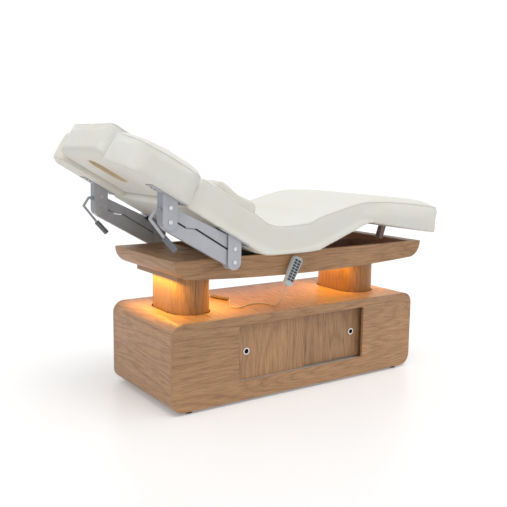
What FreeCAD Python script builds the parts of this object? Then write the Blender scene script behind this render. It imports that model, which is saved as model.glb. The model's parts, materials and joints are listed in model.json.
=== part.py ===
import FreeCAD, Part
import math
import os
import Sketcher

# Facial treatment bed: a wood-veneered cabinet, two lifting columns, a boat-shaped
# tray, and a mattress in sections with two drop-down armrests beside the head cushion.
# Millimetres, +Z up. X runs along the bed with the head at -X, and the client's right
# hand is on the -Y side. The origin is on the floor, under the middle of the whole bed
# with the backrest raised.

doc = FreeCAD.newDocument("TreatmentBed")

SIZES = [
    # the cabinet
    ("base_x", 104, "cabinet's middle, along X from the origin"),
    ("foot_tall", 13, "foot height under the cabinet"),
    ("foot_round", 22, "foot radius"),
    ("foot_inset", 100, "foot centre from the cabinet's ends"),
    ("foot_inset_y", 36, "foot centre from the cabinet's front and back"),
    ("cab_long", 1530, "cabinet length"),
    ("cab_wide", 640, "cabinet depth, front to back"),
    ("cab_tall", 417, "cabinet height without its feet"),
    ("cab_wall", 25, "wall of the wrapped shell"),
    ("cab_panel", 16, "front and back panel thickness"),
    ("cab_corner", 60, "radius of the shell's corners"),
    ("bay_lap", 31.5, "front panel past the storage bay's outer face at each end"),
    ("door_open_low", 91, "door opening's sill above the cabinet's underside"),
    ("door_open_tall", 281, "door opening height"),
    ("door_open_corner", 12, "radius of the opening's corners"),
    ("door_stop", 9.5, "door's outer edge from the storage bay's outer face"),
    ("door_meet", 12, "each sliding door past the cabinet's middle"),
    ("door_thick", 16, "sliding door thickness"),
    ("door_gap", 4, "between the panel, the front door and the rear door"),
    ("door_play", 2, "door edge clear of the track's web"),
    ("track_tall", 9, "height of a track's ribs"),
    ("track_web", 3, "thickness of a track's web"),
    ("track_rib", 2, "thickness of a track's rib"),
    ("sill_drop", 4, "track's web below the opening's sill"),
    ("track_play", 0.5, "tracks clear of the front panel and the storage bay"),
    ("shelf_thick", 16, "boards of the storage bay"),
    ("bay_gap", 8, "storage bay's side board, clear of the column's shroud"),
    ("pull_in", 76, "finger pull from the door's outer edge"),
    ("pull_z", 236, "finger pull above the cabinet's underside"),
    ("pull_flange", 17.5, "radius of the pull's flange"),
    ("pull_barrel", 14, "radius of the pull's barrel"),
    ("pull_bore", 11.5, "radius of the pull's cup"),
    ("pull_proud", 2, "flange thickness"),
    ("pull_deep", 12, "depth of the pull's barrel"),
    # the lifting columns
    ("column_x", 544, "column from the cabinet's middle"),
    ("shroud_wide", 205, "shroud across X"),
    ("shroud_long", 358, "shroud across Y"),
    ("shroud_wall", 12, "shroud wall"),
    ("shroud_low", 232, "shroud's lower edge above the cabinet's underside"),
    ("slot_play", 7, "slot in the cabinet top, clear of the shroud all round"),
    ("tube_wide", 110, "fixed column tube across X"),
    ("tube_long", 160, "fixed column tube across Y"),
    ("tube_wall", 4, "column tube wall"),
    ("tube_play", 2, "between the fixed and the moving tube"),
    ("tube_top", 430, "top of the fixed tube above the cabinet's underside"),
    ("tube_head", 20, "top of the shrouds and moving tubes below the tray's rim"),
    ("tube_low", 200, "lower end of the moving tube above the cabinet's underside"),
    ("plate_wide", 150, "column base plate across X"),
    ("plate_long", 210, "column base plate across Y"),
    ("plate_thick", 8, "column base plate thickness"),
    # the tray
    ("tray_head", 752, "tray's head end from the cabinet's middle"),
    ("tray_foot", 826, "tray's foot end from the cabinet's middle"),
    ("tray_wide", 624, "tray width"),
    ("tray_top_z", 707, "tray's upper edge above the cabinet's underside"),
    ("tray_end_z", 618, "tray's underside where its end curves begin"),
    ("tray_sag", 24, "how far the underside bows down in the middle"),
    ("tray_bend", 85, "radius of the end curves"),
    ("tray_board", 22, "tray side board thickness"),
    ("tray_end_deep", 72, "length of the solid end blocks"),
    ("tray_floor_z", 634, "tray's floor above the cabinet's underside"),
    ("lid_long", 220, "closed board over the tray's head end"),
    ("lid_thick", 12, "thickness of that board"),
    ("lid_slot_long", 68, "vent slot length"),
    ("lid_slot_wide", 8, "vent slot width"),
    ("lid_play", 0.5, "board clear of the tray all round"),
    ("led_wide", 14, "light strip width"),
    ("led_tall", 8, "light strip below the tray"),
    ("led_long", 420, "light strip length"),
    ("led_off", 128, "light strip from the column's middle"),
    # the steel frame in the tray
    ("rail_y", 150, "rail from the middle"),
    ("rail_wide", 25, "rail width"),
    ("rail_tall", 40, "rail height"),
    ("rail_head_gap", 40, "rail's head end clear of the tray's end block"),
    ("rail_foot_gap", 19, "rail's foot end clear of the tray's end block"),
    ("ear_thick", 6, "hinge ear thickness"),
    ("ear_round", 15, "hinge ear radius"),
    ("pin_round", 8, "hinge pin radius"),
    ("pin_play", 0.25, "pin clear of its bore"),
    ("pin_half", 165, "half length of a hinge pin"),
    ("ear_in_y", 128, "inner hinge ears from the middle"),
    ("lug_y", 70, "actuator lug from the middle"),
    ("lug_slot", 17, "width of the lug's open slot"),
    ("lug_wide", 32, "width of the lug"),
    ("lug_long", 80, "length of the lug from the pin"),
    ("lug_root", 50, "where the lug's slot begins"),
    ("lug_lean", 2.5, "lug from upright at rest, so that its swing is even"),
    ("drive_z", 656, "actuator axis above the cabinet's underside"),
    ("drive_round", 20, "actuator radius"),
    ("drive_nose", 108, "actuator's nose from the pivot it drives"),
    ("drive_bore", 118, "depth of the actuator's bore"),
    ("rod_round", 9, "actuator rod radius"),
    ("rod_play", 0.4, "rod clear of the actuator's bore"),
    ("rod_in", 62, "rod left inside the actuator at rest"),
    ("rod_pin", 6, "radius of the rod's cross pin"),
    ("back_drive_x", 40, "back drive's fixed end from the cabinet's middle"),
    ("leg_drive_x", 46, "leg drive's fixed end from the hip pivot"),
    ("drive_foot", 25, "drive's mounting block inward of its lug"),
    ("drive_base", 20, "length of a drive's mounting block"),
    ("cheek_thick", 4, "thickness of the rod's fork cheeks"),
    ("cheek_play", 3, "cheeks clear of the lug"),
    ("cheek_long", 52, "length of the fork's cheeks"),
    # the mattress and its boards
    ("bed_wide", 780, "mattress width"),
    ("board_wide", 772, "width of the boards under it"),
    ("board_thick", 18, "board thickness"),
    ("hip_x", 298, "hip pivot toward the head from the cabinet's middle"),
    ("hip_z", 719, "hip pivot above the cabinet's underside"),
    ("back_deg", 30, "backrest angle"),
    ("back_drop", 11, "underside of the back board below the hip pivot"),
    ("back_top", 147, "top of the lower back cushion above the hip pivot"),
    ("back_long", 496, "hip pivot to the lower back's upper end, on top"),
    ("back_long_low", 466, "hip pivot to the lower back's upper end, underneath"),
    ("neck_long", 484, "hip pivot to the step in the back board"),
    ("shoulder_long", 456, "hip pivot to the wide board's upper end"),
    ("head_far", 897, "hip pivot to the head cushion's far end"),
    ("head_near", 500, "hip pivot to the head cushion's near end"),
    ("head_wide", 470, "head cushion width"),
    ("head_low", 33, "head cushion's underside above the hip pivot"),
    ("head_top", 164, "head cushion's top at its far end"),
    ("head_peak", 700, "hip pivot to where the head cushion's top levels off"),
    ("head_top_near", 150, "head cushion's top at its near end"),
    ("head_corner", 32, "radius of the head cushion's far corners"),
    ("head_board_far", 852, "hip pivot to the head board's far end"),
    ("head_board_thick", 15, "head board thickness"),
    ("face_x", 735, "hip pivot to the face opening's middle"),
    ("face_long", 210, "face opening length"),
    ("face_wide", 120, "face opening width"),
    ("seat_top", 852, "top of the seat above the cabinet's underside"),
    ("fold_play", 1, "between a cushion and the fold beside it"),
    ("hinge_clear", 26, "boards and cushions kept clear of a hinge pin"),
    ("thigh_x", 16, "thigh pivot from the cabinet's middle"),
    ("thigh_z", 716, "thigh pivot above the cabinet's underside"),
    ("thigh_deg", 20, "thigh board angle"),
    ("thigh_drop", 7, "underside of the thigh board below its pivot"),
    ("thigh_top", 150, "thigh cushion's top at the seat"),
    ("thigh_top_knee", 107, "thigh cushion's top at the knee"),
    ("knee_long", 365, "thigh pivot to knee pivot"),
    ("calf_deg", 9.4, "slope of the calf section"),
    ("calf_top_knee", 118, "calf cushion's top at the knee"),
    ("calf_top", 146, "calf cushion's top near the foot"),
    ("calf_long", 500, "knee pivot to the foot end"),
    ("knee_pin", 6, "knee pin radius"),
    ("knee_ear", 12, "knee ear radius"),
    ("hinge_plate", 4, "thickness of the hinge plates"),
    ("prop_lean", 12, "prop leg's foot headward of its top"),
    ("prop_x", 292, "prop leg from the knee"),
    ("prop_wide", 30, "prop leg width"),
    ("prop_tall", 74.5, "prop leg length"),
    ("prop_y", 186, "prop leg from the middle"),
    # the armrests and their linkages
    ("link_long", 386, "arm link, pivot to pivot"),
    ("link_rise", 8, "head pivot above the hip pivot, across the link"),
    ("arm_pivot_x", 178, "hip-end upper pivot from the backrest hinge"),
    ("arm_pivot_z", 58, "hip-end upper pivot below the backrest hinge"),
    ("pivot_step_x", 30, "lower pivot from the upper one, along the back"),
    ("pivot_step_z", 54, "lower pivot below the upper one"),
    ("arm_y", 366, "linkage from the middle"),
    ("channel_wide", 52, "bracket channel width"),
    ("channel_wall", 4, "bracket channel wall"),
    ("cheek_half", 7, "half height of the cheeks that carry the release lever"),
    ("channel_half", 36, "half width of a bracket plate"),
    ("flange_half", 92, "half length of a bracket's flange"),
    ("flange_wide", 66, "width of a bracket's flange"),
    ("link_wide", 34, "width of a link across the channel"),
    ("link_wall", 3, "wall of a link"),
    ("link_gap", 4, "between the two links"),
    ("bolt_round", 5, "pivot bolt radius"),
    ("bolt_play", 0.2, "bolt clear of its bore"),
    ("bolt_head", 9.5, "bolt head radius"),
    ("bolt_head_tall", 5, "bolt head height"),
    ("arm_low", 6, "armrest underside below the hip pivot"),
    ("arm_top", 147, "armrest top above the hip pivot"),
    ("arm_top_far", 127, "armrest top at its head end"),
    ("arm_near", 487, "hip pivot to the armrest's near end, underneath"),
    ("arm_near_top", 498.5, "hip pivot to the armrest's near end, on top"),
    ("arm_far", 893, "hip pivot to the armrest's far end"),
    ("arm_in_y", 244, "armrest's inner side from the middle"),
    ("arm_out_y", 430, "armrest's widest point from the middle"),
    ("arm_near_y", 400, "armrest's outer side at its near end"),
    ("lever_thick", 8, "lever bar thickness"),
    ("lever_wide", 11, "lever bar width"),
    ("lever_pin", 3, "lever pin radius"),
    ("grip_round", 13, "lever grip radius"),
    ("grip_long", 78, "lever grip length"),
    # the loose pieces
    ("seat_roll_near", 125, "hip pivot to the seat foam's top edge"),
    ("seat_roll_far", 50, "thigh pivot back to the seat foam's top edge"),
    ("seat_heel", 12, "upright step at the bottom of the seat foam's head end"),
    ("back_roll", 210, "hip pivot to where the back foam's top starts to curve down"),
    ("back_heel", 16, "hip pivot to the back foam's bottom edge"),
    ("thigh_heel", 20, "thigh pivot to the thigh foam's bottom edge"),
    ("back_plate_far", 150, "hip pivot to the far end of the back's hinge plate"),
    ("back_plate_near", 20, "hip pivot to the near end of the back's hinge plate"),
    ("calf_plate_near", 16, "knee pivot to the near end of the calf's hinge plate"),
    ("calf_plate_far", 200, "knee pivot to the far end of the calf's hinge plate"),
    ("ear_reach", 24, "hip and thigh ears along their plates"),
    ("knee_reach", 20, "knee ears along their plates"),
    ("pillow_far", 343, "hip pivot to the pillow's head end"),
    ("pillow_near", 56, "hip pivot to the pillow's near end"),
    ("pillow_tall", 69, "contour pillow's higher ridge"),
    ("pillow_edge", 8, "rounding of the pillow's ends"),
    ("hip_flange_far", 122, "hip bracket's flange past the upper pivot, headward"),
    ("hip_flange_near", 68, "hip bracket's flange past the upper pivot, footward"),
    ("arm_flange_lean", 33, "middle of the armrest's flange headward of the upper pivot"),
    ("calf_toe", 15, "rounding of the foot end"),
    ("arm_chamfer", 34, "armrest's near end, cut away underneath for the upper link"),
    ("arm_round", 70, "rounding of the armrest's outer far corner"),
    ("pillow_wide", 512, "contour pillow width"),
    ("pillow_play", 0.5, "pillow above the cushion it lies on"),
    ("phone_long", 152, "hand control length"),
    ("phone_wide", 56, "hand control width at its top"),
    ("phone_wide_low", 42, "hand control width at its lower end"),
    ("phone_thick", 24, "hand control thickness"),
    ("phone_deg", 26.7, "how far the hand control hangs askew"),
    ("phone_x", 68, "hand control's top middle toward the head"),
    ("phone_z", 682, "hand control's top above the cabinet's underside"),
    ("phone_gap", 0.4, "hand control clear of its hook plate"),
    ("hook_deep", 11, "hook plate thickness"),
    ("key_wide", 10, "key width"),
    ("key_tall", 6, "key height"),
    ("key_proud", 1.2, "key above the face"),
    ("key_pitch", 14.5, "key rows apart"),
    ("key_off", 11, "key columns from the middle"),
    ("cord_round", 2.6, "cord radius"),
    ("plug_round", 8.5, "cord connector radius"),
    ("plug_long", 120, "cord connector length"),
]

sheet = doc.addObject("Spreadsheet::Sheet", "Sizes")
for row, (alias, value, meaning) in enumerate(SIZES, 1):
    sheet.set(f"A{row}", meaning)
    sheet.set(f"B{row}", str(value))
    sheet.setAlias(f"B{row}", alias)
doc.recompute()


class Dim:
    """A size with both its value and the expression that FreeCAD keeps for it."""

    def __init__(self, value, text):
        self.value = float(value)
        self.text = text

    def __add__(self, other):
        other = dim(other)
        return Dim(self.value + other.value, f"({self.text} + {other.text})")

    def __radd__(self, other):
        return dim(other) + self

    def __sub__(self, other):
        other = dim(other)
        return Dim(self.value - other.value, f"({self.text} - {other.text})")

    def __rsub__(self, other):
        return dim(other) - self

    def __mul__(self, other):
        other = dim(other)
        return Dim(self.value * other.value, f"({self.text} * {other.text})")

    def __rmul__(self, other):
        return dim(other) * self

    def __truediv__(self, other):
        other = dim(other)
        return Dim(self.value / other.value, f"({self.text} / {other.text})")

    def __neg__(self):
        return Dim(-self.value, f"(0 - {self.text})")


def dim(thing):
    if isinstance(thing, Dim):
        return thing
    return Dim(thing, f"{thing:.6f}" if thing >= 0 else f"(0 - {-thing:.6f})")


def cosd(angle):
    return Dim(math.cos(math.radians(angle.value)), f"cos({angle.text})")


def sind(angle):
    return Dim(math.sin(math.radians(angle.value)), f"sin({angle.text})")


def root(thing):
    return Dim(math.sqrt(thing.value), f"sqrt({thing.text})")


class Sheet:
    """The spreadsheet's cells, read by name."""

    def __getattr__(self, alias):
        return Dim(float(getattr(sheet, alias)), f"Sizes.{alias}")


S = Sheet()
Vector = FreeCAD.Vector
nodes = {}


def bind(thing, prop, size):
    thing.setExpression(prop, dim(size).text)


def node(thing, label):
    """Name an object as one of the bed's pieces."""
    thing.Label = label
    nodes[label] = thing
    return thing


def put(thing, x=0, y=0, z=0, turn=None, foot_up=False):
    """Place an object, turned so that its head end rises, or its foot end with foot_up."""
    if turn is not None:
        axis = Vector(0, -1, 0) if foot_up else Vector(0, 1, 0)
        start = FreeCAD.Rotation(axis, dim(turn).value)
        thing.Placement = FreeCAD.Placement(Vector(0, 0, 0), start)
        bind(thing, "Placement.Rotation.Angle", turn)
    for letter, size in (("x", x), ("y", y), ("z", z)):
        bind(thing, f"Placement.Base.{letter}", size)
    return thing


def box(name, long, wide, tall):
    thing = doc.addObject("Part::Box", name)
    for prop, size in (("Length", long), ("Width", wide), ("Height", tall)):
        bind(thing, prop, size)
    return thing


def block(name, x_range, y_range, z_range):
    """A box between two limits each way."""
    spans = [dim(r[1]) - dim(r[0]) for r in (x_range, y_range, z_range)]
    return put(box(name, *spans), x_range[0], y_range[0], z_range[0])


def rod_y(name, radius, x, z, y_range):
    """A round bar along Y between two limits."""
    thing = doc.addObject("Part::Cylinder", name)
    bind(thing, "Radius", radius)
    bind(thing, "Height", dim(y_range[1]) - dim(y_range[0]))
    thing.Placement = FreeCAD.Placement(Vector(0, 0, 0), FreeCAD.Rotation(Vector(-1, 0, 0), 90))
    for letter, size in (("x", x), ("y", y_range[0]), ("z", z)):
        bind(thing, f"Placement.Base.{letter}", size)
    return thing


def rod_x(name, radius, y, z, x_range):
    """A round bar along X between two limits."""
    thing = doc.addObject("Part::Cylinder", name)
    bind(thing, "Radius", radius)
    bind(thing, "Height", dim(x_range[1]) - dim(x_range[0]))
    thing.Placement = FreeCAD.Placement(Vector(0, 0, 0), FreeCAD.Rotation(Vector(0, 1, 0), 90))
    for letter, size in (("x", x_range[0]), ("y", y), ("z", z)):
        bind(thing, f"Placement.Base.{letter}", size)
    return thing


def rod_z(name, radius, x, y, z_range):
    thing = doc.addObject("Part::Cylinder", name)
    bind(thing, "Radius", radius)
    bind(thing, "Height", dim(z_range[1]) - dim(z_range[0]))
    return put(thing, x, y, z_range[0])


def fuse(name, things):
    thing = doc.addObject("Part::MultiFuse", name)
    thing.Shapes = things
    return thing


def group(name, things):
    thing = doc.addObject("Part::Compound", name)
    thing.Links = things
    return thing


def cut(name, base, tool):
    thing = doc.addObject("Part::Cut", name)
    thing.Base = base
    thing.Tool = tool
    return thing


def common(name, base, tool):
    thing = doc.addObject("Part::Common", name)
    thing.Base = base
    thing.Tool = tool
    return thing


def plane_of(body, role):
    return [f for f in body.Origin.OriginFeatures if f.Role == role][0]


def draw(body, name, role, points):
    """A closed outline, counter-clockwise. A third number on a point makes the edge that
    follows it an arc of that radius, bulging outward, or inward where it is negative."""
    sketch = body.newObject("Sketcher::SketchObject", name)
    sketch.AttachmentSupport = [(plane_of(body, role), "")]
    sketch.MapMode = "FlatFace"
    spots = [[dim(c) for c in p[:2]] for p in points]
    bends = [dim(p[2]) if len(p) > 2 else None for p in points]
    here = [Vector(p[0].value, p[1].value, 0) for p in spots]
    ends = []
    for i, start in enumerate(here):
        stop = here[(i + 1) % len(here)]
        if bends[i] is None:
            sketch.addGeometry(Part.LineSegment(start, stop), False)
        else:
            way = stop - start
            radius = abs(bends[i].value)
            rise = radius - math.sqrt(max(radius**2 - way.Length**2 / 4, 0))
            side = Vector(way.y, -way.x, 0).normalize() * (rise if bends[i].value > 0 else -rise)
            sketch.addGeometry(Part.Arc(start, (start + stop) * 0.5 + side, stop), False)
        first = sketch.Geometry[i].StartPoint
        ends.append((1, 2) if (first - start).Length < 1e-6 else (2, 1))
    for i in range(len(here)):
        after = (i + 1) % len(here)
        sketch.addConstraint(Sketcher.Constraint("Coincident", i, ends[i][1], after, ends[after][0]))
    for i, (x, y) in enumerate(spots):
        for kind, letter, size in (("DistanceX", "x", x), ("DistanceY", "y", y)):
            k = sketch.addConstraint(Sketcher.Constraint(kind, -1, 1, i, ends[i][0], size.value))
            sketch.renameConstraint(k, f"{letter}{i}")
            bind(sketch, f"Constraints.{letter}{i}", size)
        if bends[i] is not None:
            size = bends[i] if bends[i].value > 0 else -bends[i]
            k = sketch.addConstraint(Sketcher.Constraint("Radius", i, size.value))
            sketch.renameConstraint(k, f"bend{i}")
            bind(sketch, f"Constraints.bend{i}", size)
    return sketch


def slab(name, points, wide, role="XZ_Plane"):
    """An outline in the XZ plane made solid, wide across Y, half to each side."""
    body = doc.addObject("PartDesign::Body", name)
    pad = body.newObject("PartDesign::Pad", f"{name}_pad")
    pad.Profile = draw(body, f"{name}_outline", role, points)
    pad.SideType = "Symmetric"
    bind(pad, "Length", wide)
    body.Tip = pad
    return body


def hollow(body, name, points, wide, role="XZ_Plane"):
    """Cut an outline out of a slab, wide across Y, half to each side."""
    pocket = body.newObject("PartDesign::Pocket", name)
    pocket.Profile = draw(body, f"{name}_outline", role, points)
    pocket.SideType = "Symmetric"
    bind(pocket, "Length", wide)
    body.Tip = pocket
    return body


def rounded(x_range, z_range, radius):
    """A rounded rectangle's outline."""
    (x0, x1), (z0, z1) = x_range, z_range
    return [
        (x0 + radius, z0),
        (x1 - radius, z0, radius),
        (x1, z0 + radius),
        (x1, z1 - radius, radius),
        (x1 - radius, z1),
        (x0 + radius, z1, radius),
        (x0, z1 - radius),
        (x0, z0 + radius, radius),
    ]


def stadium(wide, long):
    """An upright oval's outline: round ends along Y, straight sides."""
    radius = wide / 2
    flat = long / 2 - radius
    return [
        (radius, -flat),
        (radius, flat, radius),
        (dim(0), flat + radius, radius),
        (-radius, flat),
        (-radius, -flat, radius),
        (dim(0), -flat - radius, radius),
    ]


X0 = S.base_x
Z0 = S.foot_tall

# The storage bay stands between the columns' shrouds, and its doors fill it.
bay_in = S.column_x - S.shroud_wide / 2 - S.bay_gap
bay_half = bay_in - S.shelf_thick

# ---------------------------------------------------------------- cabinet
outline = rounded((-S.cab_long / 2, S.cab_long / 2), (dim(0), S.cab_tall), S.cab_corner)
inside = rounded(
    (-S.cab_long / 2 + S.cab_wall, S.cab_long / 2 - S.cab_wall),
    (S.cab_wall, S.cab_tall - S.cab_wall),
    S.cab_corner - S.cab_wall,
)
shell_wide = S.cab_wide - 2 * S.cab_panel
shell = slab("shell_solid", outline, shell_wide)
hollow(shell, "shell_inside", inside, shell_wide + 2)
put(shell, X0, 0, Z0)
slots = []
for side, name in ((-1, "head"), (1, "foot")):
    hole = slab(
        f"slot_{name}",
        stadium(S.shroud_wide + 2 * S.slot_play, S.shroud_long + 2 * S.slot_play),
        S.cab_wall * 4,
        "XY_Plane",
    )
    slots.append(put(hole, X0 + side * S.column_x, 0, Z0 + S.cab_tall))
node(cut("shell_cut", shell, group("slots", slots)), "cabinet_shell")

front = slab("front_panel", outline, S.cab_panel)
opening = rounded(
    (S.bay_lap - bay_in, bay_in - S.bay_lap),
    (S.door_open_low, S.door_open_low + S.door_open_tall),
    S.door_open_corner,
)
hollow(front, "front_opening", opening, S.cab_panel + 2)
front_y = -S.cab_wide / 2 + S.cab_panel / 2
node(put(front, X0, front_y, Z0), "cabinet_front")
back = slab("back_panel", outline, S.cab_panel)
node(put(back, X0, -front_y, Z0), "cabinet_back")

# The storage bay: a raised floor between two side boards, behind the doors.
panel_in = -S.cab_wide / 2 + S.cab_panel
sill = S.door_open_low - S.track_web - S.sill_drop
lane = S.door_thick + S.door_gap
track_y = panel_in + S.track_play
track_wide = 2 * lane + S.track_rib
bay = [
    block(
        f"bay_{name}",
        (X0 + low, X0 + high),
        (track_y + track_wide + S.track_play, -panel_in),
        (Z0 + S.cab_wall, Z0 + S.cab_tall - S.cab_wall),
    )
    for name, low, high in (("head", -bay_in, -bay_half), ("foot", bay_half, bay_in))
]
bay.append(
    block(
        "bay_floor",
        (X0 - bay_in, X0 + bay_in),
        (panel_in, -panel_in),
        (Z0 + sill - S.shelf_thick, Z0 + sill),
    )
)
node(fuse("bay_boards", bay), "storage_box")

feet = []
for i, (ends, side) in enumerate(((-1, -1), (1, -1), (-1, 1), (1, 1))):
    feet.append(
        rod_z(
            f"foot_{i}",
            S.foot_round,
            X0 + ends * (S.cab_long / 2 - S.foot_inset),
            side * (S.cab_wide / 2 - S.foot_inset_y),
            (dim(0), Z0),
        )
    )
node(group("feet_all", feet), "feet")

# Two aluminium tracks, each with two lanes: the front lane takes the left door.
tracks = []
for name, web_low, rib_low in (
    ("low", sill, sill + S.track_web),
    ("top", S.cab_tall - S.cab_wall - S.track_web, S.cab_tall - S.cab_wall - S.track_web - S.track_tall),
):
    long = (X0 - bay_in, X0 + bay_in)
    pieces = [
        block(
            f"track_{name}_web", long, (track_y, track_y + track_wide),
            (Z0 + web_low, Z0 + web_low + S.track_web),
        )
    ]
    for i in range(3):
        at = track_y + i * lane
        pieces.append(
            block(
                f"track_{name}_rib_{i}", long, (at, at + S.track_rib),
                (Z0 + rib_low, Z0 + rib_low + S.track_tall),
            )
        )
    tracks.append(fuse(f"track_{name}", pieces))
node(group("tracks", tracks), "door_tracks")

# The sliding doors, each with a round finger pull let into its outer face.
door_low = Z0 + sill + S.track_web + S.door_play
door_high = Z0 + S.cab_tall - S.cab_wall - S.track_web - S.door_play
for i, (name, side) in enumerate((("left", -1), ("right", 1))):
    y_face = track_y + i * lane + S.track_rib + (S.door_gap - S.track_rib) / 2
    edge = X0 + side * (bay_in - S.door_stop)
    far = X0 - side * S.door_meet
    x_range = (edge, far) if side < 0 else (far, edge)
    leaf = block(f"leaf_{name}", x_range, (y_face, y_face + S.door_thick), (door_low, door_high))
    x_pull = edge - side * S.pull_in
    z_pull = Z0 + S.pull_z
    bore = rod_y(
        f"leaf_bore_{name}", S.pull_barrel + 0.2, x_pull, z_pull, (y_face - 1, y_face + S.pull_deep + 0.3)
    )
    node(cut(f"leaf_cut_{name}", leaf, bore), f"door_{name}")
    flange = rod_y(f"pull_flange_{name}", S.pull_flange, x_pull, z_pull, (y_face - S.pull_proud, y_face))
    barrel = rod_y(f"pull_barrel_{name}", S.pull_barrel, x_pull, z_pull, (y_face - 0.5, y_face + S.pull_deep))
    cup = rod_y(
        f"pull_cup_{name}", S.pull_bore, x_pull, z_pull,
        (y_face - S.pull_proud - 1, y_face + S.pull_deep - 1.5),
    )
    node(cut(f"pull_cut_{name}", fuse(f"pull_{name}", [flange, barrel]), cup), f"door_{name}_pull")

# ---------------------------------------------------------------- tray
chord = S.tray_head + S.tray_foot - 2 * S.tray_bend
bow = (chord * chord / 4 + S.tray_sag * S.tray_sag) / (2 * S.tray_sag)
curve_top = S.tray_end_z + S.tray_bend
tray_outline = [
    (-S.tray_head + S.tray_bend, S.tray_end_z, bow),
    (S.tray_foot - S.tray_bend, S.tray_end_z, S.tray_bend),
    (S.tray_foot, curve_top),
    (S.tray_foot, S.tray_top_z),
    (-S.tray_head, S.tray_top_z),
    (-S.tray_head, curve_top, S.tray_bend),
]
sides = []
for name, side in (("right", -1), ("left", 1)):
    board = slab(f"tray_board_{name}", tray_outline, S.tray_board)
    sides.append(put(board, X0, side * (S.tray_wide - S.tray_board) / 2, Z0))
node(group("tray_boards", sides), "tray_sides")

pan_wide = S.tray_wide - 2 * S.tray_board
pan = slab("pan", tray_outline, pan_wide)
well_head = -S.tray_head + S.tray_end_deep
well_foot = S.tray_foot - S.tray_end_deep
well = [
    (well_head, S.tray_floor_z),
    (well_foot, S.tray_floor_z),
    (well_foot, S.tray_top_z + 5),
    (well_head, S.tray_top_z + 5),
]
hollow(pan, "pan_well", well, pan_wide + 2)
node(put(pan, X0, 0, Z0), "tray_pan")

lid = block(
    "lid_board",
    (X0 + well_head + S.lid_play, X0 + well_head + S.lid_long),
    (-pan_wide / 2 + S.lid_play, pan_wide / 2 - S.lid_play),
    (Z0 + S.tray_top_z - S.lid_thick, Z0 + S.tray_top_z),
)
vents = []
for i, (x, y) in enumerate(((0.30, -0.24), (0.62, 0.02), (0.30, 0.17), (0.62, -0.40))):
    x_mid = X0 + well_head + S.lid_long * x
    y_mid = pan_wide * y
    vents.append(
        block(
            f"vent_{i}",
            (x_mid, x_mid + S.lid_slot_long),
            (y_mid, y_mid + S.lid_slot_wide),
            (Z0 + S.tray_top_z - S.lid_thick - 1, Z0 + S.tray_top_z + 1),
        )
    )
node(cut("lid_cut", lid, group("vents", vents)), "tray_top")

# Everything that stops at the curved underside is trimmed with the tray's own shape.
envelope = put(slab("tray_envelope", tray_outline, S.tray_wide), X0, 0, Z0)
shrouds = []
tubes = []
bases = []
strips = []
for side, name in ((-1, "head"), (1, "foot")):
    x_mid = X0 + side * S.column_x
    tall = S.tray_top_z - S.tube_head - S.shroud_low
    hull = slab(f"shroud_{name}", stadium(S.shroud_wide, S.shroud_long), tall, "XY_Plane")
    hollow(
        hull, f"shroud_{name}_inside",
        stadium(S.shroud_wide - 2 * S.shroud_wall, S.shroud_long - 2 * S.shroud_wall),
        tall + 2, "XY_Plane",
    )
    shrouds.append(put(hull, x_mid, 0, Z0 + S.shroud_low + tall / 2))
    base_top = S.cab_wall + S.plate_thick
    shoe = block(
        f"shoe_{name}",
        (x_mid - S.plate_wide / 2, x_mid + S.plate_wide / 2),
        (-S.plate_long / 2, S.plate_long / 2),
        (Z0 + S.cab_wall, Z0 + base_top),
    )
    outer = block(
        f"outer_{name}",
        (x_mid - S.tube_wide / 2, x_mid + S.tube_wide / 2),
        (-S.tube_long / 2, S.tube_long / 2),
        (Z0 + base_top - 1, Z0 + S.tube_top),
    )
    room_x = S.tube_wide / 2 - S.tube_wall
    room_y = S.tube_long / 2 - S.tube_wall
    bore = block(
        f"outer_bore_{name}", (x_mid - room_x, x_mid + room_x), (-room_y, room_y),
        (Z0 + base_top, Z0 + S.tube_top + 1),
    )
    bases.append(cut(f"column_{name}", fuse(f"column_solid_{name}", [shoe, outer]), bore))
    slim_x = room_x - S.tube_play
    slim_y = room_y - S.tube_play
    inner = block(
        f"inner_{name}", (x_mid - slim_x, x_mid + slim_x), (-slim_y, slim_y),
        (Z0 + S.tube_low, Z0 + S.tray_top_z - S.tube_head),
    )
    void_x = slim_x - S.tube_wall
    void_y = slim_y - S.tube_wall
    core = block(
        f"inner_bore_{name}", (x_mid - void_x, x_mid + void_x), (-void_y, void_y),
        (Z0 + S.tube_low - 1, Z0 + S.tray_top_z - S.tube_head + 1),
    )
    tubes.append(cut(f"inner_tube_{name}", inner, core))
    for k in (-1, 1):
        at = x_mid + k * S.led_off
        strips.append(
            block(
                f"strip_{name}_{k + 1}",
                (at - S.led_wide / 2, at + S.led_wide / 2),
                (-S.led_long / 2, S.led_long / 2),
                (Z0 + S.tray_end_z - S.tray_sag * 0.6 - S.led_tall, Z0 + S.tray_end_z + S.led_tall),
            )
        )
node(group("columns", bases), "column_outers")
node(cut("shrouds_cut", group("shrouds", shrouds), envelope), "column_shrouds")
node(cut("tubes_cut", group("tubes", tubes), envelope), "column_inners")
node(cut("strips_cut", group("strips", strips), envelope), "led_strips")

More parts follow.
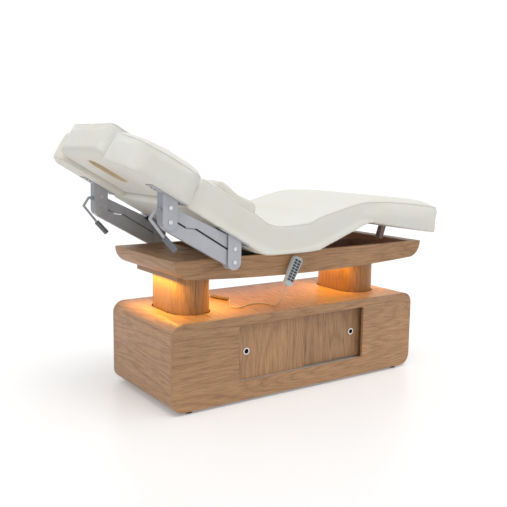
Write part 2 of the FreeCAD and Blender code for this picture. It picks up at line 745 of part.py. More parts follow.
# ---------------------------------------------------------------- steel frame in the tray
HIP = (X0 - S.hip_x, Z0 + S.hip_z)
THIGH = (X0 + S.thigh_x, Z0 + S.thigh_z)
floor_z = Z0 + S.tray_floor_z
rail_top = floor_z + S.rail_tall
rail_head = S.tray_head - S.tray_end_deep - S.rail_head_gap
rail_foot = S.tray_foot - S.tray_end_deep - S.rail_foot_gap
rail_in = S.rail_y - S.rail_wide / 2
rail_out = S.rail_y + S.rail_wide / 2
drive_z = Z0 + S.drive_z
steel = []
for name, side in (("right", -1), ("left", 1)):
    y_range = (side * rail_out, side * rail_in) if side < 0 else (rail_in, rail_out)
    steel.append(block(f"rail_{name}", (X0 - rail_head, X0 + rail_foot), y_range, (floor_z, rail_top)))
    for place, pivot in (("hip", HIP), ("thigh", THIGH)):
        y_ear = (side * S.rail_y - S.ear_thick / 2, side * S.rail_y + S.ear_thick / 2)
        steel.append(
            block(
                f"post_{place}_{name}", (pivot[0] - S.ear_round, pivot[0] + S.ear_round),
                y_ear, (rail_top - 1, pivot[1]),
            )
        )
        steel.append(rod_y(f"ear_{place}_{name}", S.ear_round, pivot[0], pivot[1], y_ear))
for name, x in (("head", -rail_head), ("foot", rail_foot - S.rail_wide)):
    steel.append(
        block(
            f"cross_{name}", (X0 + x, X0 + x + S.rail_wide), (-rail_in - 1, rail_in + 1),
            (floor_z, rail_top),
        )
    )
drive_ends = {"back": X0 + S.back_drive_x, "leg": X0 - S.hip_x + S.leg_drive_x}
for name, y_range, x_range in (
    ("back", (S.lug_y - S.drive_foot, rail_in + 1), (drive_ends["back"], drive_ends["back"] + S.drive_base)),
    ("leg", (-rail_in - 1, -S.lug_y + S.drive_foot), (drive_ends["leg"] - S.drive_base, drive_ends["leg"])),
):
    steel.append(block(f"stub_{name}", x_range, y_range, (floor_z, rail_top)))
bores = [
    rod_y(
        f"frame_bore_{place}", S.pin_round + S.pin_play, pivot[0], pivot[1],
        (-S.tray_wide / 2, S.tray_wide / 2),
    )
    for place, pivot in (("hip", HIP), ("thigh", THIGH))
]
node(cut("frame_cut", fuse("frame_steel", steel), group("frame_bores", bores)), "tray_frame")
pins = [
    rod_y(f"pin_{place}", S.pin_round, pivot[0], pivot[1], (-S.pin_half, S.pin_half))
    for place, pivot in (("hip", HIP), ("thigh", THIGH))
]
node(group("pins", pins), "frame_pins")

# Two linear actuators. Each rod ends in a fork whose pin rides in a lug's open slot.
pin_off = (S.hip_z - S.drive_z) * sind(S.lug_lean)
back_pin_x = HIP[0] + pin_off
leg_pin_x = THIGH[0] + pin_off
back_nose = HIP[0] + S.drive_nose
leg_nose = THIGH[0] - S.drive_nose
bodies = [
    rod_x("drive_back", S.drive_round, S.lug_y, drive_z, (back_nose, drive_ends["back"])),
    rod_x("drive_leg", S.drive_round, -S.lug_y, drive_z, (drive_ends["leg"], leg_nose)),
]
barrels = [
    rod_x(
        "drive_back_bore", S.rod_round + S.rod_play, S.lug_y, drive_z,
        (back_nose - 1, back_nose + S.drive_bore),
    ),
    rod_x(
        "drive_leg_bore", S.rod_round + S.rod_play, -S.lug_y, drive_z,
        (leg_nose - S.drive_bore, leg_nose + 1),
    ),
]
node(cut("drives_cut", group("drives", bodies), group("drive_bores", barrels)), "actuators")


def span(a, b):
    """Two limits in rising order."""
    return (a, b) if dim(a).value < dim(b).value else (b, a)


def fork_rod(name, y, pin_x, way, nose):
    """An actuator's rod: a bar from inside its body, a block, two cheeks and a cross pin."""
    cheek_in = S.ear_thick / 2 + S.cheek_play
    cheek_out = cheek_in + S.cheek_thick
    root_x = pin_x - way * S.cheek_long
    pieces = [
        block(
            f"{name}_block", span(root_x - way * 10, root_x + way * 4), (y - cheek_out, y + cheek_out),
            (drive_z - 11, drive_z + 11),
        ),
        rod_x(f"{name}_bar", S.rod_round, y, drive_z, span(nose - way * S.rod_in, root_x - way * 8)),
        rod_y(f"{name}_pin", S.rod_pin, pin_x, drive_z, (y - cheek_out, y + cheek_out)),
    ]
    for k, y_range in enumerate(((y - cheek_out, y - cheek_in), (y + cheek_in, y + cheek_out))):
        pieces.append(
            block(f"{name}_cheek_{k}", span(root_x, pin_x + way * 10), y_range, (drive_z - 9, drive_z + 9))
        )
    return fuse(name, pieces)


node(fork_rod("fork_back", S.lug_y, back_pin_x, -1, back_nose), "back_rod")
node(fork_rod("fork_leg", -S.lug_y, leg_pin_x, 1, leg_nose), "leg_rod")


def turned(point, pivot, angle, foot_up=False):
    """A section's own point, given in the bed's frame."""
    c, s = cosd(angle), sind(angle)
    x, z = dim(point[0]), dim(point[1])
    if foot_up:
        return (pivot[0] + x * c - z * s, pivot[1] + x * s + z * c)
    return (pivot[0] + x * c + z * s, pivot[1] - x * s + z * c)


# ---------------------------------------------------------------- seat
seat_low = Z0 + S.tray_top_z + S.board_thick
seat_high = Z0 + S.seat_top
seat_near = HIP[0] + S.hinge_clear
seat_far = THIGH[0] - S.hinge_clear
node(
    block(
        "seat_panel", (seat_near, seat_far), (-S.board_wide / 2, S.board_wide / 2),
        (Z0 + S.tray_top_z, seat_low),
    ),
    "seat_board",
)
seat_outline = [
    (seat_near, seat_low),
    (seat_far, seat_low),
    (THIGH[0] - S.seat_roll_far, seat_high),
    (HIP[0] + S.seat_roll_near, seat_high),
    (HIP[0] + S.hinge_clear + S.seat_heel / 4, seat_low + S.seat_heel),
]
node(slab("seat_foam", seat_outline, S.bed_wide), "seat_cushion")

# ---------------------------------------------------------------- backrest
# Drawn flat with the hip pivot at its origin and the head toward -X, then leaned back.
back_low = -S.back_drop + S.board_thick
back_outline = [
    (-S.back_long_low, back_low),
    (-S.hinge_clear, back_low),
    (-S.back_heel, back_low + S.back_heel * 0.56),
    (-S.back_roll * 0.43, S.back_top * 0.932),
    (-S.back_roll * 0.714, S.back_top * 0.986),
    (-S.back_roll, S.back_top),
    (-S.back_long, S.back_top),
]
foam = slab("back_foam", back_outline, S.bed_wide)
node(put(foam, HIP[0], 0, HIP[1], S.back_deg), "lower_back_cushion")

step_low = S.head_low - S.head_board_thick
neck_half = S.head_wide / 2 - 8
neck = (-neck_half, neck_half)
back_panel = fuse(
    "back_panels",
    [
        block(
            "panel_wide", (-S.shoulder_long, -S.hinge_clear), (-S.board_wide / 2, S.board_wide / 2),
            (-S.back_drop, back_low),
        ),
        block("panel_neck", (-S.neck_long, -S.shoulder_long + 1), neck, (-S.back_drop, back_low)),
        block("panel_step", (-S.neck_long, -S.neck_long + 12), neck, (-S.back_drop, S.head_low)),
        block("panel_head", (-S.head_board_far, -S.neck_long + 1), neck, (step_low, S.head_low)),
    ],
)


def face_hole(name, z_range):
    """The face opening: an oval column through the head cushion and its board."""
    hole = slab(name, stadium(S.face_wide, S.face_long), z_range[1] - z_range[0], "XY_Plane")
    hole.Placement = FreeCAD.Placement(Vector(0, 0, 0), FreeCAD.Rotation(Vector(0, 0, 1), 90))
    for letter, size in (("x", -S.face_x), ("z", (z_range[0] + z_range[1]) / 2)):
        bind(hole, f"Placement.Base.{letter}", size)
    return hole


board = cut("back_panel_cut", back_panel, face_hole("board_hole", (step_low - 5, S.head_low + 5)))
node(put(board, HIP[0], 0, HIP[1], S.back_deg), "back_board")

head_outline = [
    (-S.head_far, S.head_low),
    (-S.head_near, S.head_low),
    (-S.head_near, S.head_top_near),
    (-S.head_peak, S.head_top),
    (-S.head_far, S.head_top),
]
head_block = slab("head_foam", head_outline, S.head_wide)
corner = S.head_corner
head_plan = [
    (-S.head_far, -S.head_wide / 2 + corner, corner),
    (-S.head_far + corner, -S.head_wide / 2),
    (-S.head_near + 1, -S.head_wide / 2),
    (-S.head_near + 1, S.head_wide / 2),
    (-S.head_far + corner, S.head_wide / 2, corner),
    (-S.head_far, S.head_wide / 2 - corner),
]
head_round = common("head_rounded", head_block, slab("head_plan", head_plan, S.head_far, "XY_Plane"))
head = cut("head_cut", head_round, face_hole("cushion_hole", (S.head_low - 5, S.head_top + 5)))
node(put(head, HIP[0], 0, HIP[1], S.back_deg), "head_cushion")


def hinge_bore(name, x, z, pin):
    return rod_y(name, pin + S.pin_play, x, z, (-S.pin_half - 1, S.pin_half + 1))


def ear_pieces(name, way, x, z, round_, plate_z, reach, ys):
    """Round hinge ears on a pin, each with a neck back to its plate."""
    pieces = []
    for k, y in enumerate(ys):
        y_range = (y - S.ear_thick / 2, y + S.ear_thick / 2)
        pieces.append(rod_y(f"{name}_ear_{k}", round_, x, z, y_range))
        pieces.append(
            block(f"{name}_neck_{k}", span(x, x + way * reach), y_range, (plate_z, plate_z + S.hinge_plate))
        )
    return pieces


def slotted_lug(name, y, lean, foot_up):
    """The lug an actuator's fork pin pushes on: a bar with a slot open at its end."""
    lug = slab(
        name,
        [
            (-S.lug_wide / 2, -S.lug_long),
            (-S.lug_slot / 2, -S.lug_long),
            (-S.lug_slot / 2, -S.lug_root),
            (S.lug_slot / 2, -S.lug_root),
            (S.lug_slot / 2, -S.lug_long),
            (S.lug_wide / 2, -S.lug_long),
            (S.ear_round - 2, dim(0)),
            (-S.ear_round + 2, dim(0)),
        ],
        S.ear_thick,
    )
    return put(lug, 0, y, 0, lean, foot_up)


ear_out = S.ear_in_y + S.ear_thick / 2
plate_z = -S.back_drop - S.hinge_plate
plate_y = (-ear_out, ear_out)
steel = [block("back_plate", (-S.back_plate_far, -S.back_plate_near), plate_y, (plate_z, -S.back_drop))]
steel += ear_pieces(
    "back_plate", -1, dim(0), dim(0), S.ear_round - 1, plate_z, S.ear_reach,
    (-S.ear_in_y, S.ear_in_y, S.lug_y),
)
steel.append(slotted_lug("back_lug", S.lug_y, S.back_deg + S.lug_lean, True))
back_bore = hinge_bore("back_bore", dim(0), dim(0), S.pin_round)
plate = cut("back_plate_cut", fuse("back_plate_steel", steel), back_bore)
node(put(plate, HIP[0], 0, HIP[1], S.back_deg), "back_hinge_plate")

# ---------------------------------------------------------------- legs
# The thigh section is drawn flat toward +X from its pivot, then raised.
thigh_low = -S.thigh_drop + S.board_thick
thigh_outline = [
    (S.hinge_clear, thigh_low),
    (S.knee_long - 2, thigh_low),
    (S.knee_long - 2, S.thigh_top_knee),
    (S.knee_long * 0.78, S.thigh_top_knee * 1.131),
    (S.knee_long * 0.466, S.thigh_top * 0.907),
    (S.knee_long * 0.22, S.thigh_top * 0.973),
    (S.knee_long * 0.138, S.thigh_top),
    (S.thigh_heel, thigh_low + S.thigh_heel * 0.55),
]
foam = slab("thigh_foam", thigh_outline, S.bed_wide)
node(put(foam, THIGH[0], 0, THIGH[1], S.thigh_deg, True), "thigh_cushion")
board = block(
    "thigh_panel", (S.hinge_clear, S.knee_long - 15), (-S.board_wide / 2, S.board_wide / 2),
    (-S.thigh_drop, thigh_low),
)
node(put(group("thigh_panels", [board]), THIGH[0], 0, THIGH[1], S.thigh_deg, True), "thigh_board")

knee = (S.knee_long, -S.thigh_drop)
plate_z = -S.thigh_drop - S.hinge_plate
thigh_plate_x = (S.back_plate_near, S.knee_long - S.calf_plate_near)
steel = [block("thigh_plate", thigh_plate_x, plate_y, (plate_z, -S.thigh_drop))]
steel += ear_pieces(
    "thigh_plate", 1, dim(0), dim(0), S.ear_round - 1, plate_z, S.ear_reach,
    (-S.ear_in_y, S.ear_in_y, -S.lug_y),
)
knee_ears = (-S.ear_in_y, S.ear_in_y)
steel += ear_pieces("knee_plate", -1, knee[0], knee[1], S.knee_ear, plate_z, S.knee_reach, knee_ears)
steel.append(slotted_lug("thigh_lug", -S.lug_y, S.thigh_deg - S.lug_lean, False))
bores = group(
    "thigh_bores",
    [
        hinge_bore("thigh_bore", dim(0), dim(0), S.pin_round),
        hinge_bore("knee_bore", knee[0], knee[1], S.knee_pin),
    ],
)
plate = cut("thigh_plate_cut", fuse("thigh_plate_steel", steel), bores)
node(put(plate, THIGH[0], 0, THIGH[1], S.thigh_deg, True), "thigh_frame")

# The calf section is drawn flat toward +X from the knee, then sloped down to the foot.
KNEE = turned(knee, THIGH, S.thigh_deg, True)
node(rod_y("knee_rod", S.knee_pin, KNEE[0], KNEE[1], (-ear_out - 12, ear_out + 12)), "knee_pin")
calf_low = S.board_thick
calf_outline = [
    (dim(2), calf_low),
    (S.calf_long - S.calf_toe, calf_low),
    (S.calf_long, calf_low + S.calf_toe),
    (S.calf_long - S.calf_toe * 0.66, S.calf_top - S.calf_toe * 0.8),
    (S.calf_long - S.calf_toe * 2.1, S.calf_top),
    (S.calf_long * 0.6, S.calf_top * 0.966),
    (S.calf_long * 0.288, S.calf_top * 0.89),
    (dim(2), S.calf_top_knee),
]
foam = slab("calf_foam", calf_outline, S.bed_wide)
node(put(foam, KNEE[0], 0, KNEE[1], S.calf_deg), "calf_cushion")
board = block(
    "calf_panel", (dim(15), S.calf_long - 16), (-S.board_wide / 2, S.board_wide / 2), (dim(0), calf_low)
)
node(put(group("calf_panels", [board]), KNEE[0], 0, KNEE[1], S.calf_deg), "calf_board")
ear_y = S.ear_in_y - S.ear_thick - 2
calf_ears = (-ear_y, ear_y)
steel = [block("calf_plate", (S.calf_plate_near, S.calf_plate_far), calf_ears, (-S.hinge_plate, dim(0)))]
steel += ear_pieces("calf_plate", 1, dim(0), dim(0), S.knee_ear, -S.hinge_plate, S.knee_reach, calf_ears)
calf_bore = hinge_bore("calf_bore", dim(0), dim(0), S.knee_pin)
plate = cut("calf_plate_cut", fuse("calf_plate_steel", steel), calf_bore)
node(put(plate, KNEE[0], 0, KNEE[1], S.calf_deg), "calf_hinge_plate")
props = []
for name, side in (("right", -1), ("left", 1)):
    leg = slab(
        f"prop_{name}",
        [
            (S.prop_x - S.prop_wide / 2 - S.prop_lean, -S.prop_tall),
            (S.prop_x + S.prop_wide / 2 - S.prop_lean, -S.prop_tall),
            (S.prop_x + S.prop_wide / 2, dim(0)),
            (S.prop_x - S.prop_wide / 2, dim(0)),
        ],
        S.prop_wide,
    )
    props.append(put(leg, 0, side * S.prop_y, 0))
node(put(group("props", props), KNEE[0], 0, KNEE[1], S.calf_deg), "prop_legs")

# The soft folds in the mattress: each fills the wedge over a hinge. Their outlines are
# from the pivot, in thicknesses of the seat foam.
foam_tall = seat_high - seat_low
hip_wedge = [
    (-0.0276, 0.1929), (0.1378, 0.1929), (0.937, 1.0315),
    (0.378, 1.0551), (0.1417, 1.1339), (-0.0512, 1.2598),
]
thigh_wedge = [
    (-0.2165, 0.2047), (0.0709, 0.2244), (-0.0472, 1.2205), (-0.2362, 1.1102), (-0.374, 1.063),
]
folds = []
for name, pivot, outline in (("hip", HIP, hip_wedge), ("thigh", THIGH, thigh_wedge)):
    fold = slab(f"fold_{name}", [(foam_tall * x, foam_tall * z) for x, z in outline], S.bed_wide)
    folds.append(put(fold, pivot[0], 0, pivot[1]))
node(group("folds", folds), "seat_folds")
knee_wedge = [
    (-0.0472, 0.1417), (0.0252, 0.1496), (0.1496, 0.9055), (-0.0787, 0.8976), (-0.2992, 0.8386),
]
fold = slab("fold_knee", [(foam_tall * x, foam_tall * z) for x, z in knee_wedge], S.bed_wide)
node(put(fold, KNEE[0], 0, KNEE[1]), "knee_fold")

# ---------------------------------------------------------------- armrests
# Drawn in the backrest's own frame for the right side, then mirrored for the left.
UH = (-S.arm_pivot_x, -S.arm_pivot_z)
run = root(S.link_long * S.link_long - S.link_rise * S.link_rise)
UF = (UH[0] - run, UH[1] + S.link_rise)
LH = (UH[0] + S.pivot_step_x, UH[1] - S.pivot_step_z)
LF = (UF[0] + S.pivot_step_x, UF[1] - S.pivot_step_z)


def near(pivot, x, z):
    """A point by a pivot, in half widths of a bracket's plate."""
    return (pivot[0] + S.channel_half * x, pivot[1] + S.channel_half * z)


def mirrored(thing, name):
    """The same piece on the other side of the bed."""
    twin = doc.addObject("Part::Mirroring", name)
    twin.Source = thing
    twin.Normal = Vector(0, 1, 0)
    twin.Base = Vector(0, 0, 0)
    return twin


def on_back(thing):
    return put(thing, HIP[0], 0, HIP[1], S.back_deg)


bolt_hole = S.bolt_round + S.bolt_play
channel_out = S.channel_wide / 2
channel_in = channel_out - S.channel_wall


def pivot_holes(name, pivots):
    y_range = (-S.arm_y - channel_out - 1, -S.arm_y + channel_out + 1)
    return group(name, [rod_y(f"{name}_{k}", bolt_hole, p[0], p[1], y_range) for k, p in enumerate(pivots)])


def bracket(name, low, up, top, web, flange):
    """A channel that carries two pivots: two plates joined by a web, under a flange.
    The plates run along the line through the pivots and are round at the bottom."""
    length = root(S.pivot_step_x * S.pivot_step_x + S.pivot_step_z * S.pivot_step_z)
    ux, uz = -S.pivot_step_x / length, S.pivot_step_z / length

    def at(across, along):
        return (low[0] + uz * across + ux * along, low[1] - ux * across + uz * along)

    half = S.channel_half

    def rise(across, z=top):
        """How far along the channel's line it meets a height, such as the flange's."""
        return (z - low[1] + ux * across) / uz

    outline = [
        (*at(-half, dim(0)), half),
        (*at(dim(0), -half), half),
        at(half, dim(0)),
        at(half, rise(half)),
        at(-half, rise(-half)),
    ]
    solid = slab(f"{name}_channel", outline, S.channel_wide)
    inner = half - S.channel_wall
    low_side, high_side = (-inner, half * 2) if web < 0 else (-half * 2, inner)
    hollow(
        solid, f"{name}_inside",
        [at(low_side, -half * 2), at(high_side, -half * 2), at(high_side, half * 5), at(low_side, half * 5)],
        channel_in * 2,
    )
    put(solid, 0, -S.arm_y, 0)
    plate = block(
        f"{name}_flange", flange,
        (-S.arm_y - S.flange_wide / 2, -S.arm_y + S.flange_wide / 2), (top, top + S.channel_wall),
    )
    pieces = [solid, plate]
    if web < 0:
        cheek_low = LEVER[1] - S.cheek_half
        cheek_high = LEVER[1] + S.cheek_half
        web_mid = S.channel_wall / 2 - half
        for k, side in enumerate((-1, 1)):
            y_mid = -S.arm_y + side * (S.lever_thick / 2 + S.channel_wall * 0.75)
            cheek = slab(
                f"{name}_cheek_{k}",
                [
                    (LEVER[0] - S.cheek_half, cheek_low),
                    at(web_mid, rise(web_mid, cheek_low)),
                    at(web_mid, rise(web_mid, cheek_high)),
                    (LEVER[0] - S.cheek_half, cheek_high),
                ],
                S.channel_wall,
            )
            pieces.append(put(cheek, 0, y_mid, 0))
    shape = cut(f"{name}_cut", fuse(f"{name}_solid", pieces), pivot_holes(f"{name}_holes", (low, up)))
    if web < 0:
        hole = rod_y(
            f"{name}_lever_hole", S.lever_pin + S.bolt_play, LEVER[0], LEVER[1],
            (-S.arm_y - 12, -S.arm_y + 12),
        )
        shape = cut(f"{name}_done", shape, hole)
    return shape


LEVER = near(UF, -0.917, -0.778)
hip_flange = (UH[0] - S.hip_flange_far, UH[0] + S.hip_flange_near)
arm_flange = (UF[0] - S.flange_half - S.arm_flange_lean, UF[0] + S.flange_half - S.arm_flange_lean)
hip_bracket = on_back(bracket("hip_bracket", LH, UH, -S.back_drop - S.channel_wall, 1, hip_flange))
node(group("hip_brackets_both", [hip_bracket, mirrored(hip_bracket, "hip_bracket_left")]), "hip_brackets")


def bolts(name, pivots):
    """Pivot bolts with their heads, nuts and the collars that centre the links."""
    mid = -S.arm_y
    pieces = []
    for k, (x, z) in enumerate(pivots):
        shank = rod_y(
            f"{name}_shank_{k}", S.bolt_round, x, z,
            (mid - channel_out - S.bolt_head_tall, mid + channel_out + S.bolt_head_tall),
        )
        parts = [shank]
        for j, side in enumerate((-1, 1)):
            head = span(mid + side * channel_out, mid + side * (channel_out + S.bolt_head_tall))
            collar = span(mid + side * (channel_in - 0.1), mid + side * (S.link_wide / 2 + 0.4))
            parts.append(rod_y(f"{name}_head_{k}_{j}", S.bolt_head, x, z, head))
            parts.append(rod_y(f"{name}_collar_{k}_{j}", S.bolt_round + 3, x, z, collar))
        pieces.append(fuse(f"{name}_{k}", parts))
    return group(f"{name}_all", pieces)


hip_bolts = on_back(bolts("hip_bolt", (UH, LH)))
node(group("hip_bolts_both", [hip_bolts, mirrored(hip_bolts, "hip_bolts_left")]), "hip_bolts")


def link(name, outline, pocket, pivots):
    """An arm link: a channel closed on its outer face, with a bore at each end."""
    bar = slab(name, outline, S.link_wide)
    recess = slab(f"{name}_recess", pocket, S.link_wide)
    put(bar, 0, -S.arm_y, 0)
    put(recess, 0, -S.arm_y + S.link_wall, 0)
    shape = cut(f"{name}_channel", bar, recess)
    return on_back(cut(f"{name}_cut", shape, pivot_holes(f"{name}_holes", pivots)))


upper_outline = [
    near(UF, -0.556, -0.444), near(UF, -0.222, -1.028), near(UF, 3.167, -1.056), near(UH, -6.278, -0.333),
    near(UH, 0.222, -0.472), near(UH, 0.667, -0.167), near(UH, 0.667, 0.5), near(UH, 0.167, 1.111),
    near(UH, -1.833, 1.111), near(UF, 1.111, 0.278), near(UF, -0.278, 0.333), near(UF, -0.583, 0.056),
]
upper_pocket = [
    near(UF, 0.833, -0.889), near(UF, 3.111, -0.917), near(UH, -6.333, -0.194), near(UH, -1.111, -0.25),
    near(UH, -1.111, 0.972), near(UH, -1.833, 0.972), near(UF, 1.167, 0.139), near(UF, 0.833, 0.111),
]
lower_outline = [
    near(LF, -0.722, -0.222), near(LF, -0.444, -0.833), near(LF, 0.194, -1.111), near(LH, 0.111, -0.778),
    near(LH, 0.611, -0.5), near(LH, 0.778, 0.167), near(LH, 0.556, 0.722), near(LH, -0.056, 0.889),
    near(LH, -7.111, 1.056), near(LF, 2.333, 0.333), near(LF, -0.556, 0.361), near(LF, -0.694, 0.111),
]
lower_pocket = [
    near(LF, 0.889, -0.944), near(LH, -1.111, -0.611), near(LH, -1.111, 0.778), near(LH, -7.056, 0.917),
    near(LF, 2.389, 0.194), near(LF, 0.889, 0.194),
]
for name, outline, pocket, pivots in (
    ("upper_link", upper_outline, upper_pocket, (UH, UF)),
    ("lower_link", lower_outline, lower_pocket, (LH, LF)),
):
    shape = link(name, outline, pocket, pivots)
    node(shape, f"right_{name}")
    node(mirrored(shape, f"{name}_left"), f"left_{name}")

arm_side = [
    (-S.arm_far, -S.arm_low),
    (-S.arm_near - S.arm_chamfer, -S.arm_low),
    (-S.arm_near, -S.arm_low + S.arm_chamfer * 0.18),
    (-S.arm_near_top, S.arm_top - 2),
    (-S.arm_near * 0.75 - S.arm_far * 0.25, S.arm_top + 1),
    (-S.arm_near * 0.48 - S.arm_far * 0.52, S.arm_top),
    (-S.arm_near * 0.25 - S.arm_far * 0.75, S.arm_top_far * 1.045),
    (-S.arm_far * 0.989, S.arm_top_far * 1.015),
    (-S.arm_far, S.arm_top_far * 0.94),
]
arm_plan = [
    (-S.arm_far, -S.arm_in_y - S.arm_round * 0.786),
    (-S.arm_far + S.arm_round * 0.757, -S.arm_out_y + S.arm_round * 0.486, S.arm_round),
    (-S.arm_far + S.arm_round * 1.357, -S.arm_out_y),
    (-S.arm_near - S.arm_round * 0.829, -S.arm_out_y, S.arm_round * 2),
    (-S.arm_near + 1, -S.arm_near_y),
    (-S.arm_near + 1, -S.arm_in_y),
    (-S.arm_far + S.arm_round * 0.786, -S.arm_in_y, S.arm_round * 0.786),
]
arm_wide = S.arm_out_y - S.arm_in_y
arm_block = put(slab("arm_block", arm_side, arm_wide + 2), 0, -S.arm_in_y - arm_wide / 2, 0)
arm = on_back(common("arm_foam", arm_block, slab("arm_plan", arm_plan, S.arm_top * 3, "XY_Plane")))
node(arm, "right_armrest")
node(mirrored(arm, "armrest_left"), "left_armrest")

arm_bracket = on_back(bracket("arm_bracket", LF, UF, -S.arm_low - S.channel_wall, -1, arm_flange))
arm_bolts = on_back(bolts("arm_bolt", (UF, LF)))
node(arm_bracket, "right_arm_bracket")
node(mirrored(arm_bracket, "arm_bracket_left"), "left_arm_bracket")
node(arm_bolts, "right_arm_bolts")
node(mirrored(arm_bolts, "arm_bolts_left"), "left_arm_bolts")

# The release lever: a bent bar that turns in the bracket's two cheeks.
ELBOW = near(LEVER, -0.5, -1.472)
KNUCKLE = near(LEVER, 2.333, -2.583)
TIP = near(LEVER, 4.389, -3.222)


def bar(name, start, stop, thick, wide):
    """A flat bar from one point to another, rounded over at neither end."""
    long_x, long_z = stop[0] - start[0], stop[1] - start[1]
    length = root(long_x * long_x + long_z * long_z)
    nx, nz = -long_z / length * wide / 2, long_x / length * wide / 2
    return slab(
        name,
        [
            (start[0] - nx, start[1] - nz),
            (stop[0] - nx, stop[1] - nz),
            (stop[0] + nx, stop[1] + nz),
            (start[0] + nx, start[1] + nz),
        ],
        thick,
    )


LEVER_TOP = near(LEVER, -0.389, -0.083)
pieces = [
    bar("lever_head", LEVER, LEVER_TOP, S.lever_thick, S.lever_wide),
    bar("lever_drop", LEVER_TOP, ELBOW, S.lever_thick, S.lever_wide),
    bar("lever_reach", ELBOW, KNUCKLE, S.lever_thick, S.lever_wide),
]
half_bar = S.lever_thick / 2
for k, spot in enumerate((LEVER, LEVER_TOP, ELBOW)):
    pieces.append(rod_y(f"lever_turn_{k}", S.lever_wide / 2, spot[0], spot[1], (-half_bar, half_bar)))
pieces.append(rod_y("lever_pin", S.lever_pin, LEVER[0], LEVER[1], (dim(-9.5), dim(9.5))))
lever = put(group("lever_place", [fuse("lever", pieces)]), 0, -S.arm_y, 0)
lever = on_back(group("lever_on_back", [lever]))
node(lever, "right_lever")
node(mirrored(lever, "lever_left"), "left_lever")

reach_x, reach_z = TIP[0] - KNUCKLE[0], TIP[1] - KNUCKLE[1]
grip = doc.addObject("Part::Cylinder", "grip")
bind(grip, "Radius", S.grip_round)
bind(grip, "Height", S.grip_long)
lean = math.degrees(math.atan2(reach_x.value, reach_z.value))
grip.Placement = FreeCAD.Placement(Vector(0, 0, 0), FreeCAD.Rotation(Vector(0, 1, 0), lean))
for letter, size in (("x", KNUCKLE[0] + 0.4), ("y", -S.arm_y), ("z", KNUCKLE[1])):
    bind(grip, f"Placement.Base.{letter}", size)
grip = on_back(group("grip_place", [grip]))
node(grip, "right_grip")
node(mirrored(grip, "grip_left"), "left_grip")

# ---------------------------------------------------------------- pillow
low = S.back_top + S.pillow_play
pillow_outline = [
    (S.pillow_edge - S.pillow_far, low),
    (-S.pillow_edge - S.pillow_near, low),
    (-S.pillow_near, low + S.pillow_tall * 0.43),
    (-S.pillow_near - S.pillow_edge * 1.25, low + S.pillow_tall * 0.81),
    (-S.pillow_near - S.pillow_edge * 4, low + S.pillow_tall * 0.97),
    (-S.pillow_near - S.pillow_edge * 16, low + S.pillow_tall * 0.855),
    (S.pillow_edge * 5.4 - S.pillow_far, low + S.pillow_tall),
    (S.pillow_edge * 2.5 - S.pillow_far, low + S.pillow_tall * 0.97),
    (-S.pillow_far, low + S.pillow_tall * 0.67),
]
node(put(slab("pillow_foam", pillow_outline, S.pillow_wide), HIP[0], 0, HIP[1], S.back_deg), "pillow")

# ---------------------------------------------------------------- hand control
# Drawn upright, hanging from its top middle, then turned askew on its hook plate.
phone_y = -S.tray_wide / 2 - S.hook_deep - S.phone_gap - S.phone_thick / 2
phone_x = X0 - S.phone_x
phone_z = Z0 + S.phone_z
top_half = S.phone_wide / 2
low_half = S.phone_wide_low / 2
phone_outline = [
    (-low_half + 8, -S.phone_long),
    (low_half - 8, -S.phone_long, dim(9)),
    (low_half, -S.phone_long + 9),
    (top_half, dim(-14), dim(16)),
    (top_half - 13, dim(0)),
    (-top_half + 13, dim(0), dim(16)),
    (-top_half, dim(-14)),
    (-low_half, -S.phone_long + 9, dim(9)),
]
phone = slab("phone", phone_outline, S.phone_thick)
node(put(phone, phone_x, phone_y, phone_z, S.phone_deg), "handset_body")
keys = []
for i in range(8):
    for j, side in enumerate((-1, 1)):
        keys.append(
            block(
                f"key_{i}_{j}",
                (side * S.key_off - S.key_wide / 2, side * S.key_off + S.key_wide / 2),
                (-S.phone_thick / 2 - S.key_proud, -S.phone_thick / 2),
                (-16 - i * S.key_pitch - S.key_tall, -16 - i * S.key_pitch),
            )
        )
node(put(group("keys", keys), phone_x, phone_y, phone_z, S.phone_deg), "handset_keys")
hook = put(
    group(
        "hook_plate",
        [block("hook", (dim(-20), dim(20)), (-S.hook_deep, dim(0)), (dim(-95), dim(-12)))],
    ),
    phone_x, -S.tray_wide / 2, phone_z, S.phone_deg,
)
node(hook, "handset_hook")


# ---------------------------------------------------------------- cord
def tube(points, radius, label):
    """A round cord through the points: straight runs joined by tangent arcs."""
    corners = [Vector(*p) for p in points]
    edges = []
    start = corners[0]
    for before, here, after in zip(corners, corners[1:], corners[2:]):
        run_in = (here - before).Length
        run_out = (after - here).Length
        way_in = (here - before).normalize()
        way_out = (after - here).normalize()
        half_turn = way_in.getAngle(way_out) / 2
        trim = 0.45 * min(run_in, run_out)
        bend = trim / math.tan(half_turn)
        if bend < 6 * radius:
            print(f"tight turn in {label}: radius {bend:.1f}")
        middle = (way_out - way_in).normalize()
        centre = here + middle * (bend / math.cos(half_turn))
        arc_in = here - way_in * trim
        arc_out = here + way_out * trim
        edges.append(Part.LineSegment(start, arc_in).toShape())
        edges.append(Part.Arc(arc_in, centre - middle * bend, arc_out).toShape())
        start = arc_out
    edges.append(Part.LineSegment(start, corners[-1]).toShape())
    path = Part.Wire(edges)
    ring = Part.Wire([Part.Circle(corners[0], corners[1] - corners[0], radius).toShape()])
    solid = path.makePipeShell([ring], True, True)
    share = solid.Volume / (math.pi * radius**2 * path.Length)
    print(f"{label}: length {path.Length:.0f}, volume against section {share:.4f}")
    return solid


